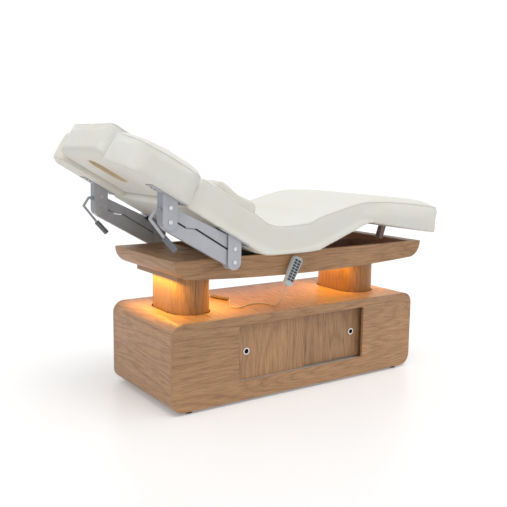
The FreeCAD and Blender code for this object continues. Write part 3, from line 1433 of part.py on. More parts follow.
lift = Z0.value + S.cab_tall.value
lies = lift + S.cord_round.value + 0.4
plug_z = lift + S.plug_round.value + 0.4
start_x = phone_x.value - (S.phone_long.value + 1) * sind(S.phone_deg).value
start_z = phone_z.value - (S.phone_long.value + 1) * cosd(S.phone_deg).value
start_y = phone_y.value
plug_way = Vector(-31, 109, 0).normalize()
plug_start = Vector(X0.value - 252, 16, plug_z)
plug_stop = plug_start + plug_way * S.plug_long.value


def from_middle(x, y, z):
    return (X0.value + x, y, z)


hanging = [
    (start_x, start_y, start_z),
    (start_x - 11, start_y + 3, start_z - 34),
    (start_x - 6, start_y + 26, start_z - 70),
    from_middle(-128, -262, lies + 18),
    from_middle(-121, -226, lies),
    from_middle(-124, -180, lies),
    from_middle(-141, -137, lies),
    from_middle(-182, -117, lies),
    from_middle(-230, -132, lies),
    from_middle(-282, -161, lies),
    from_middle(-318, -160, lies),
    from_middle(-322, -122, lies),
    from_middle(-300, -78, lies),
    from_middle(-272, -34, lies),
    from_middle(-256, -10, lies + 3),
    tuple(plug_start - plug_way * 0.5),
]
onward = [
    tuple(plug_stop + plug_way * 0.5),
    tuple(plug_stop + plug_way * 24 - Vector(0, 0, 3)),
    from_middle(-318, 188, lies),
    from_middle(-366, 206, lies),
    from_middle(-414, 203, lies),
    from_middle(-450, 182, lies),
    from_middle(-464, 166, lies),
    from_middle(-472.2, 156, lies - 0.4),
]
cord = doc.addObject("Part::Feature", "cord_runs")
cord.Shape = Part.makeCompound(
    [
        tube(hanging, S.cord_round.value, "cord from the hand control"),
        tube(onward, S.cord_round.value, "cord to the column"),
    ]
)
cord.Placement = FreeCAD.Placement(Vector(0, 0, 0), FreeCAD.Rotation())
node(cord, "cord")
plug = doc.addObject("Part::Feature", "plug")
plug.Shape = Part.makeCylinder(S.plug_round.value, S.plug_long.value, plug_start, plug_way)
plug.Placement = FreeCAD.Placement(Vector(0, 0, 0), FreeCAD.Rotation())
node(plug, "cord_connector")

# ---------------------------------------------------------------- write
doc.recompute()
for thing in doc.Objects:
    for trouble in ("Invalid", "Error"):
        if trouble in thing.State:
            raise RuntimeError(f"{thing.Name} is {thing.State}")
os.makedirs("parts", exist_ok=True)
whole = FreeCAD.BoundBox()
for label, thing in nodes.items():
    if thing.Shape.isNull() or not thing.Shape.isValid():
        raise RuntimeError(f"{label} has no valid shape")
    thing.Shape.exportStep(f"parts/{label}.step")
    whole.add(thing.Shape.BoundBox)
print(len(nodes), "pieces")
for axis in "XYZ":
    print(axis, round(getattr(whole, axis + "Min"), 1), round(getattr(whole, axis + "Max"), 1))
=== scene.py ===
import json
import math

import bmesh
import bpy
from bpy.props import FloatProperty, FloatVectorProperty, PointerProperty
from mathutils import Matrix, Vector
from mathutils.bvhtree import BVHTree
from mathutils.kdtree import KDTree


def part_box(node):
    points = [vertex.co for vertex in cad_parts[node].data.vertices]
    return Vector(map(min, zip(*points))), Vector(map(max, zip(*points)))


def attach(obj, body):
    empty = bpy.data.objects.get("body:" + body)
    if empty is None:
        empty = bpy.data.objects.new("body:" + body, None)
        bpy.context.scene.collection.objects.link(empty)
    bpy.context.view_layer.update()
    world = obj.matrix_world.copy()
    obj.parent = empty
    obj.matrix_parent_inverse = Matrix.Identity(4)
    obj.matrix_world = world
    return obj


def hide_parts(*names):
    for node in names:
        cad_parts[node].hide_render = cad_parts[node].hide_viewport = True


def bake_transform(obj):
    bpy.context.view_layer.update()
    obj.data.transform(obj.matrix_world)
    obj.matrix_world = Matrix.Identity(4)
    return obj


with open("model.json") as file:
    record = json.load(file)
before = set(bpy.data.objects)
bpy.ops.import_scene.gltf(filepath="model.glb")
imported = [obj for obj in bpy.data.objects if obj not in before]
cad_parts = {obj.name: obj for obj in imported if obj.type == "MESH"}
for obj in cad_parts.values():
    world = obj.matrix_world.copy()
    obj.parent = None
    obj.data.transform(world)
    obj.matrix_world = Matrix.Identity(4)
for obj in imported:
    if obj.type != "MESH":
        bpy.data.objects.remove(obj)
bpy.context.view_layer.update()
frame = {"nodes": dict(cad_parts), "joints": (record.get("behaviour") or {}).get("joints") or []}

bl_info = {
    "name": "Facial treatment bed",
    "version": (1, 0, 0),
    "blender": (4, 5, 0),
    "location": "View3D > Sidebar > Bed",
    "description": "Dresses the treatment bed's frame: upholstery, oak veneer, steel and light",
    "category": "Object",
}

NODES = frame["nodes"]
JOINTS = {j["name"]: j for j in frame["joints"]}


def joint_spot(name):
    return Vector(JOINTS[name]["pos_m"])


HIP = joint_spot("back_recline")
THIGH = joint_spot("leg_raise")
KNEE = joint_spot("knee_bend")
BACK_LEAN = math.radians(30)
THIGH_LEAN = math.radians(20)
CALF_LEAN = math.radians(9.4)
# Each section's own frame: flat, with its hinge at the origin, as the part's source draws it.
BACK = Matrix.Translation(HIP) @ Matrix.Rotation(BACK_LEAN, 4, "Y")
THIGHS = Matrix.Translation(THIGH) @ Matrix.Rotation(-THIGH_LEAN, 4, "Y")
CALVES = Matrix.Translation(KNEE) @ Matrix.Rotation(CALF_LEAN, 4, "Y")
INTO_BACK = BACK.inverted()
BACK_UP = BACK.to_3x3() @ Vector((0, 0, 1))
MATERIALS = {}


# ------------------------------------------------------------------ settings
def colour(name, description, default):
    return FloatVectorProperty(
        name=name, description=description, subtype="COLOR", size=3, min=0, max=1, default=default
    )


def length(name, description, default):
    return FloatProperty(
        name=name, description=description, default=default, min=0, unit="LENGTH", subtype="DISTANCE"
    )


class FinishSettings(bpy.types.PropertyGroup):
    """Colours of the bed's finishes, as the eye sees them."""

    vinyl: colour("Vinyl", "Upholstery cover", (0.905, 0.905, 0.885))
    oak_light: colour("Oak, light", "Veneer between the grain lines", (0.76, 0.59, 0.43))
    oak_dark: colour("Oak, dark", "Veneer's grain lines", (0.61, 0.44, 0.30))
    inside: colour("Tray inside", "Laminate inside the tray", (0.80, 0.58, 0.43))
    steel: colour("Steel", "Powder coat of the linkages", (0.735, 0.745, 0.77))
    # Painted shade: the colour of the brackets' faces that look towards the head end.
    web_shade: colour("Web", "Shaded side of the brackets", (0.58, 0.59, 0.625))
    grip: colour("Grip", "Lever grips", (0.45, 0.47, 0.50))
    glow: colour("Glow", "Light strips", (1.0, 0.78, 0.36))
    handset: colour("Hand control", "Hand control's case", (0.86, 0.88, 0.87))


class SoftSettings(bpy.types.PropertyGroup):
    """How the upholstery is made."""

    edge: length("Edge", "Radius of the mattress's long edges", 0.016)
    inset: length("Inset", "How far the mattress's cover starts inside its final surface", 0.003)
    voxel: length("Mattress mesh", "Size of the mattress's mesh before it is filled", 0.010)
    pad_voxel: length("Pad mesh", "Size of a pad's mesh before it is filled", 0.006)
    pressure: FloatProperty(name="Pressure", description="Air in a pad", default=4.0, min=0)
    cap: length("Cap", "The furthest that a pad's cover moves", 0.009)
    swell: length("Swell", "The seat's middle above its piped edges", 0.022)
    drop: length("Drop", "An armrest's top rim below its block's edge", 0.015)
    crown: length("Crown", "An armrest's middle above its block's top", 0.014)
    piping: length("Piping", "Radius of the welt along a pad's edge", 0.0022)


class StageSettings(bpy.types.PropertyGroup):
    """Camera, light and floor."""

    lens: FloatProperty(name="Lens", description="Focal length", default=51.93, min=1, unit="CAMERA")
    key: FloatProperty(name="Key", description="Key light's strength", default=1.35, min=0)
    sky: FloatProperty(name="Sky", description="Strength of the light from all round", default=0.62, min=0)
    glow: FloatProperty(
        name="Glow", description="Power of each light strip", default=1.1, min=0, unit="POWER"
    )
    floor_glow: FloatProperty(
        name="Floor", description="How much the floor is lifted towards white", default=0.22, min=0, max=1
    )


def linear(c):
    """A colour as the eye sees it, as the light the shader mixes."""
    return tuple(v / 12.92 if v <= 0.04045 else ((v + 0.055) / 1.055) ** 2.4 for v in c) + (1.0,)


def tinted(colour, *shares):
    """A colour with each of its parts, or all three alike, made stronger or weaker."""
    return [part * share for part, share in zip(colour, shares * 3)]


def finish():
    return bpy.context.scene.bed_finish


def soft():
    return bpy.context.scene.bed_soft


def placed(name, data):
    """A new object in the scene."""
    made = bpy.data.objects.new(name, data)
    bpy.context.scene.collection.objects.link(made)
    return made


# ------------------------------------------------------------------ materials
class Nodes:
    """A node tree under construction, with one method for each node it uses."""

    def __init__(self, tree):
        self.tree = tree

    def node(self, kind, inputs=(), **settings):
        made = self.tree.nodes.new(kind)
        for key, value in settings.items():
            setattr(made, key, value)
        for key, value in dict(inputs).items():
            self.set(made.inputs[key], value)
        return made

    def set(self, socket, value):
        if isinstance(value, bpy.types.NodeSocket):
            self.tree.links.new(value, socket)
        else:
            socket.default_value = value

    def part(self, vector, axis):
        return self.node("ShaderNodeSeparateXYZ", {"Vector": vector}).outputs[axis]

    def stretch(self, scale, vector):
        return self.node("ShaderNodeMapping", {"Vector": vector, "Scale": scale}).outputs["Vector"]

    def noise(self, vector, scale, detail=3.0, roughness=0.5, distortion=0.0):
        made = self.node(
            "ShaderNodeTexNoise",
            {
                "Vector": vector, "Scale": scale, "Detail": detail,
                "Roughness": roughness, "Distortion": distortion,
            },
        )
        return made.outputs["Fac"]

    def cells(self, vector, scale):
        return self.node("ShaderNodeTexVoronoi", {"Vector": vector, "Scale": scale}).outputs["Distance"]

    def math(self, operation, *values):
        made = self.node("ShaderNodeMath", operation=operation)
        for socket, value in zip(made.inputs, values):
            self.set(socket, value)
        return made.outputs[0]

    def ramp(self, factor, stops):
        made = self.node("ShaderNodeValToRGB", {"Fac": factor})
        elements = made.color_ramp.elements
        while len(elements) < len(stops):
            elements.new(0.5)
        for element, (position, value) in zip(elements, stops):
            element.position = position
            element.color = value if len(value) == 4 else linear(value)
        return made.outputs["Color"]

    def mix(self, factor, a, b, blend="MIX"):
        made = self.node("ShaderNodeMix", data_type="RGBA", blend_type=blend)
        self.set(made.inputs["Factor"], factor)
        self.set(made.inputs["A"], a)
        self.set(made.inputs["B"], b)
        return made.outputs["Result"]

    def bump(self, height, strength, distance, before=None):
        inputs = {"Height": height, "Strength": strength, "Distance": distance}
        if before is not None:
            inputs["Normal"] = before
        return self.node("ShaderNodeBump", inputs).outputs["Normal"]

    def edge(self, radius):
        return self.node("ShaderNodeBevel", {"Radius": radius}, samples=4).outputs["Normal"]

    def seen(self):
        """1 for rays from the camera, in a mirror or through glass, and 0 for light."""
        rays = self.node("ShaderNodeLightPath").outputs
        mirrored = self.math("MAXIMUM", rays["Is Camera Ray"], rays["Is Glossy Ray"])
        return self.math("MAXIMUM", mirrored, rays["Is Transmission Ray"])


class Recipe(Nodes):
    """A material: a new one, or a finished one that is added to."""

    def __init__(self, name=None, material=None):
        self.material = material or bpy.data.materials.new(name)
        self.material.use_nodes = True
        super().__init__(self.material.node_tree)
        self.shader = self.tree.nodes["Principled BSDF"]
        coordinates = self.node("ShaderNodeTexCoord").outputs
        self.place = coordinates["Object"]
        self.normal = coordinates["Normal"]

    def finish(self, **sockets):
        for key, value in sockets.items():
            self.set(self.shader.inputs[key.replace("_", " ")], value)
        return self.material

    def recolour(self, factor, colour):
        """Lay a colour over the finished one wherever factor is 1."""
        base = self.shader.inputs["Base Color"]
        return self.finish(Base_Color=self.mix(factor, base.links[0].from_socket, linear(colour)))


def grey(v):
    return (v, v, v, 1.0)


def vinyl(name, shade=1.0):
    """Soft upholstery vinyl: a fine pebble grain, faint clouding and a dull sheen."""
    r = Recipe(name)
    base = tinted(finish().vinyl, shade)
    cloud = r.noise(r.place, 5.0, 4.0, 0.55)
    warm = tinted(base, 1.0, 0.988, 0.955)
    tone = r.ramp(cloud, [(0.32, warm), (0.68, base)])
    pebble = r.cells(r.place, 620.0)
    crease = r.noise(r.place, 38.0, 5.0, 0.6)
    shade_of = r.ramp(pebble, [(0.0, grey(0.955)), (0.55, grey(1.0))])
    tone = r.mix(1.0, tone, shade_of, "MULTIPLY")
    height = r.math("ADD", r.math("MULTIPLY", pebble, 0.5), r.math("MULTIPLY", crease, 0.8))
    rough = r.math("ADD", 0.40, r.math("MULTIPLY", cloud, 0.14))
    return r.finish(
        Base_Color=tone, Roughness=rough, Sheen_Weight=0.12, Sheen_Roughness=0.45,
        Specular_IOR_Level=0.42, Normal=r.bump(height, 0.16, 0.0012),
    )


def facing(material, axis, limit, colour, size=False):
    """Paint shade: recolour the faces whose normal's part along an axis, or its size, is less than a limit.
    """
    r = Recipe(material=material)
    part = r.part(r.normal, axis)
    if size:
        part = r.math("ABSOLUTE", part)
    return r.recolour(r.math("LESS_THAN", part, limit), colour)


def oak(name, along, light_tint=(1.0,), dark_tint=(1.0,), seed=0.0):
    """Oak veneer with its grain along one axis: cathedral figure, fibres and open pores."""
    r = Recipe(name)
    light = tinted(finish().oak_light, *light_tint)
    dark = tinted(finish().oak_dark, *dark_tint)
    axis = "XYZ".index(along)

    def run(lengthwise, across):
        return tuple(lengthwise if i == axis else across for i in range(3))

    shifted = r.node("ShaderNodeMapping", {"Vector": r.place, "Location": (seed, seed * 0.7, seed * 1.3)})
    place = shifted.outputs["Vector"]
    figure = r.noise(r.stretch(run(0.50, 4.6), place), 1.0, 2.0, 0.38, 0.12)
    rings = r.math("FRACT", r.math("MULTIPLY", figure, 28.0))
    line = r.ramp(rings, [(0.0, grey(0.10)), (0.14, grey(0.70)), (0.60, grey(1.0)), (1.0, grey(0.45))])
    fibre = r.noise(r.stretch(run(3.0, 210.0), place), 1.0, 3.0, 0.6)
    pores = r.noise(r.stretch(run(11.0, 640.0), place), 1.0, 2.0, 0.5)
    dashes = r.ramp(pores, [(0.36, grey(0.25)), (0.46, grey(1.0))])
    board = r.noise(r.stretch(run(0.35, 1.8), place), 1.0, 1.0)
    tone = r.mix(line, linear(dark), linear(light))
    middle = [(a + b) / 2 for a, b in zip(light, dark)]
    tone = r.mix(0.30, tone, linear(middle))
    streak = r.ramp(fibre, [(0.25, grey(0.86)), (0.75, grey(1.10))])
    tone = r.mix(1.0, tone, streak, "MULTIPLY")
    tone = r.mix(r.math("SUBTRACT", 1.0, dashes), tone, linear(tinted(dark, 0.72)))
    drift = r.ramp(board, [(0.3, grey(0.90)), (0.7, grey(1.08))])
    tone = r.mix(1.0, tone, drift, "MULTIPLY")
    height = r.math("ADD", r.math("MULTIPLY", fibre, 0.35), dashes)
    rough = r.math("SUBTRACT", 0.50, r.math("MULTIPLY", line, 0.08))
    normal = r.bump(height, 0.22, 0.0005, r.edge(0.0014))
    return r.finish(Base_Color=tone, Roughness=rough, Coat_Weight=0.06, Coat_Roughness=0.32, Normal=normal)


def painted(name, base, rough=0.42, metal=0.0, grain=900.0, strength=0.05):
    """A sprayed or moulded surface: orange peel, faint handling marks and rounded edges."""
    r = Recipe(name)
    peel = r.noise(r.place, grain, 2.0)
    marks = r.noise(r.place, 24.0, 6.0, 0.65)
    tone = r.ramp(marks, [(0.3, tinted(base, 0.955)), (0.72, base)])
    gloss = r.math("ADD", rough - 0.05, r.math("MULTIPLY", marks, 0.12))
    normal = r.bump(peel, strength, 0.0004, r.edge(0.0008))
    return r.finish(Base_Color=tone, Roughness=gloss, Metallic=metal, Normal=normal)


def brushed(name, base, along, rough):
    """Bare metal brushed along one axis."""
    r = Recipe(name)
    axis = "XYZ".index(along)
    scratches = tuple(12.0 if i == axis else 1500.0 for i in range(3))
    lines = r.noise(r.stretch(scratches, r.place), 1.0, 2.0)
    tone = r.ramp(lines, [(0.3, tinted(base, 0.93)), (0.7, base)])
    gloss = r.math("ADD", rough, r.math("MULTIPLY", lines, 0.12))
    normal = r.bump(lines, 0.06, 0.0003, r.edge(0.0005))
    return r.finish(Base_Color=tone, Roughness=gloss, Metallic=1.0, Normal=normal)


def wear(material, *names):
    """Give CAD nodes a material."""
    for name in names:
        mesh = NODES[name].data
        mesh.materials.clear()
        mesh.materials.append(material)


# ------------------------------------------------------------------ mesh tools
def new_piece(name, bm, material, body=None, smooth=True):
    """Turn a bmesh into a piece of the bed."""
    bmesh.ops.recalc_face_normals(bm, faces=bm.faces)
    mesh = bpy.data.meshes.new(name)
    bm.to_mesh(mesh)
    bm.free()
    piece = placed(name, mesh)
    if material:
        mesh.materials.append(material)
    if smooth:
        mesh.shade_smooth()
    if body:
        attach(piece, body)
    return piece


def copied(node):
    """A CAD node's mesh with its doubles merged."""
    bm = bmesh.new()
    bm.from_mesh(NODES[node].data)
    bmesh.ops.remove_doubles(bm, verts=bm.verts, dist=1e-6)
    return bm


def islands(bm):
    """The loose parts of a bmesh, each as its list of vertices."""
    left = set(bm.verts)
    parts = []
    for first in bm.verts:
        if first not in left:
            continue
        left.discard(first)
        part = [first]
        for vert in part:
            for edge in vert.link_edges:
                other = edge.other_vert(vert)
                if other in left:
                    left.discard(other)
                    part.append(other)
        parts.append(part)
    return parts


def outline(bm, points):
    """A face in the XZ plane through points (x, z, corner radius), its corners rounded."""
    corners = [bm.verts.new((x, 0, z)) for x, z, _ in points]
    bm.faces.new(corners)
    for vert, (_, _, radius) in zip(corners, points):
        if radius > 0:
            bmesh.ops.bevel(
                bm, geom=[vert], offset=radius, offset_type="OFFSET", segments=7, profile=0.5,
                affect="VERTICES", material=-1,
            )
    return bm


def push_out(bm, face_list, way):
    """Extrude faces by a vector, and keep them as the solid's other side."""
    made = bmesh.ops.extrude_face_region(bm, geom=face_list, use_keep_orig=True)
    moved = [g for g in made["geom"] if isinstance(g, bmesh.types.BMVert)]
    bmesh.ops.translate(bm, verts=moved, vec=way)


def thicken(bm, y_low, y_high):
    """Move the outline's face to y_low and push it out to y_high."""
    bmesh.ops.translate(bm, verts=bm.verts, vec=(0, y_low, 0))
    push_out(bm, bm.faces[:], (0, y_high - y_low, 0))
    bmesh.ops.recalc_face_normals(bm, faces=bm.faces)
    return bm


def add_to(bm, other):
    """Put another bmesh's faces into this one."""
    mesh = bpy.data.meshes.new("part")
    other.to_mesh(mesh)
    other.free()
    bm.from_mesh(mesh)
    bpy.data.meshes.remove(mesh)


SHARP_ANGLE = 0.6


def round_edges(bm, radius, segments):
    """Round a solid's sharp edges."""
    sharp = [e for e in bm.edges if e.is_manifold and e.calc_face_angle(0) > SHARP_ANGLE]
    bmesh.ops.bevel(
        bm, geom=sharp, offset=radius, offset_type="OFFSET", segments=segments, profile=0.5,
        affect="EDGES", material=-1, clamp_overlap=True,
    )


def finished_mesh(piece):
    """A new mesh of a piece as its modifiers, or its curve's thickness, make it."""
    depsgraph = bpy.context.evaluated_depsgraph_get()
    return bpy.data.meshes.new_from_object(piece.evaluated_get(depsgraph))


def apply_modifiers(piece):
    mesh = finished_mesh(piece)
    old = piece.data
    piece.modifiers.clear()
    piece.data = mesh
    bpy.data.meshes.remove(old)


def combine(piece, operation, bm):
    """Cut a piece with a solid, or keep only what lies in it."""
    tool = new_piece("tool", bm, None)
    made = piece.modifiers.new("Combine", "BOOLEAN")
    made.operation = operation
    made.object = tool
    apply_modifiers(piece)
    bpy.data.objects.remove(tool)


def in_order(piece):
    """Number a piece's points and faces by place, because a Boolean leaves them in no fixed order."""
    mesh = piece.data
    points = [tuple(vert.co) for vert in mesh.vertices]
    order = sorted(range(len(points)), key=points.__getitem__)
    rank = {old: new for new, old in enumerate(order)}
    faces = []
    for face in mesh.polygons:
        ring = [rank[k] for k in face.vertices]
        first = ring.index(min(ring))
        faces.append(ring[first:] + ring[:first])
    mesh.clear_geometry()
    mesh.from_pydata([points[k] for k in order], [], sorted(faces))


def share(value, start, run):
    """How much of a run a value has covered from its start, from 0 to 1."""
    return min(1.0, max(0.0, (value - start) / run))


LOOKS_DOWN = -0.55
LOOKS_ALONG = 0.93


def looks_down(normal):
    return normal.z < LOOKS_DOWN


def soften(mesh, times, keep=()):
    """Smooth a mesh, apart from the points whose numbers are kept."""
    bm = bmesh.new()
    bm.from_mesh(mesh)
    loose = [v for k, v in enumerate(bm.verts) if k not in keep]
    for _ in range(times):
        bmesh.ops.smooth_vert(
            bm, verts=loose, factor=0.5, use_axis_x=True, use_axis_y=True, use_axis_z=True
        )
    bm.to_mesh(mesh)
    bm.free()


REMESH_SMOOTHING = 3
CLOTH_FRAMES = 20


def blow_up(piece, fixed):
    """Fill a cover with air, as cloth whose points in fixed are held."""
    cloth = piece.modifiers.new("Cloth", "CLOTH")
    if fixed:
        group = piece.vertex_groups.new(name="held")
        group.add(fixed, 1.0, "REPLACE")
        cloth.settings.vertex_group_mass = "held"
    cloth.settings.quality = 4
    cloth.settings.use_pressure = True
    cloth.settings.uniform_pressure_force = soft().pressure
    cloth.settings.effector_weights.gravity = 0
    cloth.collision_settings.use_collision = False
    cloth.point_cache.frame_start = 1
    cloth.point_cache.frame_end = CLOTH_FRAMES
    for number in range(1, CLOTH_FRAMES + 1):
        bpy.context.scene.frame_set(number)
    apply_modifiers(piece)
    bpy.context.scene.frame_set(1)
    piece.vertex_groups.clear()


def fill_pad(piece, voxel, cap, inset, hold, smooth_times):
    """Fill a pad: remesh it, draw its cover in, blow it up as cloth and smooth the result.
    What hold says of a normal stays where it is, such as what looks down, on its board."""
    remesh = piece.modifiers.new("Remesh", "REMESH")
    remesh.mode = "VOXEL"
    remesh.voxel_size = voxel
    apply_modifiers(piece)
    mesh = piece.data
    soften(mesh, REMESH_SMOOTHING)
    fixed = [v.index for v in mesh.vertices if hold and hold(v.normal)]
    keep = set(fixed)
    start = [v.co - v.normal * (0 if v.index in keep else inset) for v in mesh.vertices]
    for vert, co in zip(mesh.vertices, start):
        vert.co = co
    blow_up(piece, fixed)
    mesh = piece.data
    for vert, before in zip(mesh.vertices, start):
        moved = vert.co - before
        if moved.length > cap:
            vert.co = before + moved.normalized() * cap
    soften(mesh, smooth_times, keep)
    mesh.shade_smooth()


def subdivide(piece):
    made = piece.modifiers.new("Subdivision", "SUBSURF")
    made.levels = made.render_levels = 1
    apply_modifiers(piece)
    piece.data.shade_smooth()


RIM_GAP, WELT_GAP = 0.006, 0.02
PIPING_RISE = 0.25


def spaced(loop, gap):
    """Points on a closed line, about a gap apart."""
    points = []
    for a, b in zip(loop, loop[1:] + loop[:1]):
        steps = max(1, round((b - a).length / gap))
        points += [a.lerp(b, k / steps) for k in range(steps)]
    return points


def nearest_on(rim):
    """A finder of the nearest point, its number and its distance on a closed line."""
    line = spaced(rim, RIM_GAP)
    tree = KDTree(len(line))
    for k, point in enumerate(line):
        tree.insert(point, k)
    tree.balance()
    return tree.find


def surface_of(piece):
    bm = bmesh.new()
    bm.from_mesh(piece.data)
    tree = BVHTree.FromBMesh(bm)
    bm.free()
    return tree


def round_line(name, points, radius, closed, steps_along, steps_round):
    """A curve of round section that follows a smooth line by points."""
    curve = bpy.data.curves.new(name, "CURVE")
    curve.dimensions = "3D"
    spline = curve.splines.new("NURBS")
    spline.points.add(len(points) - 1)
    for point, co in zip(spline.points, points):
        point.co = (*co, 1.0)
    spline.order_u = 3
    spline.use_endpoint_u = not closed
    spline.use_cyclic_u = closed
    spline.resolution_u = steps_along
    curve.bevel_depth = radius
    curve.bevel_resolution = steps_round
    curve.use_fill_caps = not closed
    return placed(name, curve)


def welt(name, pad, path, body=None):
    """Piping on a pad: a thin round cord laid on the cover's surface along a closed path."""
    tree = surface_of(pad)
    on = []
    for point in spaced(path, WELT_GAP):
        spot, normal, _, _ = tree.find_nearest(point)
        on.append(spot + normal * soft().piping * PIPING_RISE)
    line = round_line(name + "_line", on, soft().piping, True, 4, 2)
    mesh = finished_mesh(line)
    bpy.data.objects.remove(line)
    bm = bmesh.new()
    bm.from_mesh(mesh)
    bpy.data.meshes.remove(mesh)
    bmesh.ops.remove_doubles(bm, verts=bm.verts, dist=1e-6)
    seam = new_piece(name, bm, MATERIALS["upholstery"], body)
    return seam


# ------------------------------------------------------------------ mattress
def back(x, z):
    return BACK @ Vector((x, 0, z))


def thigh(x, z):
    return THIGHS @ Vector((x, 0, z))


def calf(x, z):
    return CALVES @ Vector((x, 0, z))


def by(pivot, x, z):
    return pivot + Vector((x, 0, z))


MATTRESS_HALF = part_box("seat_cushion")[1].y
BOARD_GAP = 0.0005
SEAT_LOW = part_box("seat_board")[0].z + BOARD_GAP
SEAT_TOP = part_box("seat_cushion")[1].z
SEAT_MIDDLE = (HIP.x + THIGH.x) / 2
SHOULDER = -0.496
FOOT = 0.513


def mattress_top():
    """The mattress's top edge from shoulder to foot: (point, radius where the line bends there)."""
    return [
        (back(SHOULDER, 0.147), 0.024),
        (back(-0.150, 0.145), 0.050),
        (by(HIP, 0.032, 0.139), 0.040),
        (Vector((HIP.x + 0.125, 0, SEAT_TOP)), 0.020),
        (Vector((THIGH.x - 0.046, 0, SEAT_TOP)), 0.030),
        (thigh(0.062, 0.149), 0.036),
        (thigh(0.285, 0.122), 0.050),
        (by(KNEE, -0.024, 0.110), 0.040),
        (calf(0.144, 0.130), 0.050),
        (calf(0.300, 0.141), 0.050),
        (calf(FOOT - 0.012, 0.147), 0.026),
    ]


def mattress_underside():
    """The mattress's bottom edge from foot to shoulder."""
    return [
        (calf(FOOT, 0.018), 0.014),
        (calf(FOOT - 0.006, 0.003), 0.008),
        (calf(0.016, 0.003), 0.012),
        (thigh(0.352, -0.007), 0.012),
        (thigh(0.018, -0.007), 0.016),
        (Vector((THIGH.x - 0.030, 0, SEAT_LOW)), 0.020),
        (Vector((HIP.x + 0.020, 0, SEAT_LOW)), 0.026),
        (back(-0.022, -0.011), 0.020),
        (back(SHOULDER - 0.002, -0.011), 0.008),
    ]


NOTCH_LONG, NOTCH_WIDE = 0.060, 0.350


def notches():
    """Blocks that keep the mattress clear of the hinges' ears and pins in the middle."""
    bm = bmesh.new()
    for pivot, tall in ((HIP, 0.048), (THIGH, 0.048), (KNEE, 0.040)):
        made = bmesh.ops.create_cube(bm, size=1.0)
        bmesh.ops.scale(bm, verts=made["verts"], vec=(NOTCH_LONG, NOTCH_WIDE, tall))
        bmesh.ops.translate(bm, verts=made["verts"], vec=pivot)
    return bm


# How far past the hip the swell starts, over what length it comes in, how near the edge it fades,
# and how level a face is before it takes part and when it does in full.
SWELL_START, SWELL_RUN, SWELL_FADE = 0.080, 0.18, 0.024
SWELL_TILT, SWELL_LEVEL = 0.15, 0.70
PIPING_SHIFT = 0.002
THIGH_CUT = 0.190


class BED_OT_mattress(bpy.types.Operator):
    """Make the mattress as one filled cover, then part it where it rides on each section"""

    bl_idname = "bed.mattress"
    bl_label = "Mattress"

    def execute(self, context):
        cover = MATERIALS["upholstery"]
        top = mattress_top()
        whole = new_piece("mattress", self.block(top), cover)
        combine(whole, "DIFFERENCE", notches())
        fill_pad(whole, soft().voxel, soft().cap, soft().inset, self.held, smooth_times=4)
        subdivide(whole)
        rim = [
            point + Vector((0, side * (MATTRESS_HALF - PIPING_SHIFT), PIPING_SHIFT))
            for side in (-1, 1) for point, _ in top[::side]
        ]
        self.swell(whole, rim)
        seam = welt("mattress_welt", whole, rim)
        bm = bmesh.new()
        for made in (whole, seam):
            bm.from_mesh(made.data)
            bpy.data.objects.remove(made)
        thigh_cut = thigh(THIGH_CUT, 0)
        thigh_way = (thigh(1, 0) - thigh(0, 0)).normalized()
        seat_cut = Vector((SEAT_MIDDLE, 0, 0))
        seat_way = Vector((1, 0, 0))
        parts = (
            ("mattress_back", ((seat_cut, seat_way),), ("lower_back_cushion", "seat_folds", "back_board")),
            (
                "mattress_seat", ((seat_cut, -seat_way), (thigh_cut, thigh_way)),
                ("seat_cushion", "thigh_cushion", "seat_board", "thigh_board"),
            ),
            ("mattress_foot", ((thigh_cut, -thigh_way),), ("knee_fold", "calf_cushion", "calf_board")),
        )
        for name, cuts, nodes in parts:
            piece = new_piece(name, parted(bm, cuts), cover)
            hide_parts(*nodes)
        bm.free()
        bends = (
            ("mattress_back", "backrest", "lift", HIP, Vector((0.966, 0, -0.259)), 0.050),
            ("mattress_seat", "lift", "thigh_rest", THIGH, Vector((0.985, 0, 0.174)), 0.070),
            ("mattress_foot", "thigh_rest", "calf_rest", KNEE, Vector((0.996, 0, 0.092)), 0.070),
        )
        for name, first, second, pivot, way, before in bends:
            piece = bpy.data.objects[name]
            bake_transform(piece)
        return {"FINISHED"}

    def block(self, top):
        """The mattress before it is filled, its long edges rounded."""
        bm = outline(bmesh.new(), [(p.x, p.z, r) for p, r in top + mattress_underside()])
        thicken(bm, -MATTRESS_HALF, MATTRESS_HALF)
        rims = [
            e for e in bm.edges
            if abs(e.verts[0].co.y - e.verts[1].co.y) < 1e-6 and e.calc_face_angle(0) > 1.0
        ]
        bmesh.ops.bevel(
            bm, geom=rims, offset=soft().edge, offset_type="OFFSET", segments=4, profile=0.5,
            affect="EDGES", material=-1, clamp_overlap=True,
        )
        return bm

    def held(self, normal):
        """The underside and both ends keep their place."""
        return looks_down(normal) or abs(normal.x) > LOOKS_ALONG

    def swell(self, piece, rim):
        """Raise the seat's and leg section's top between its piped edges."""
        find = nearest_on(rim)
        rises = []
        for vert in piece.data.vertices:
            along = share(vert.co.x, HIP.x + SWELL_START, SWELL_RUN)
            level = share(vert.normal.z, SWELL_TILT, SWELL_LEVEL - SWELL_TILT)
            rise = 0.0
            if along * level > 0:
                rise = soft().swell * along * level * (1 - math.exp(-find(vert.co)[2] / SWELL_FADE))
            rises.append(rise)
        for vert, rise in zip(piece.data.vertices, rises):
            vert.co.z += rise


def parted(source, cuts):
    """A copy of a mesh, cut off flat beyond each plane (point, outward direction) and closed."""
    bm = source.copy()
    for point, way in cuts:
        bmesh.ops.bisect_plane(
            bm, geom=bm.verts[:] + bm.edges[:] + bm.faces[:], dist=1e-6, plane_co=point, plane_no=way,
            clear_outer=True,
        )
        open_edges = [e for e in bm.edges if e.is_boundary]
        caps = bmesh.ops.holes_fill(bm, edges=open_edges, sides=0)["faces"]
        for face in caps:
            face.smooth = False
        for edge in open_edges:
            edge.smooth = False
    return bm


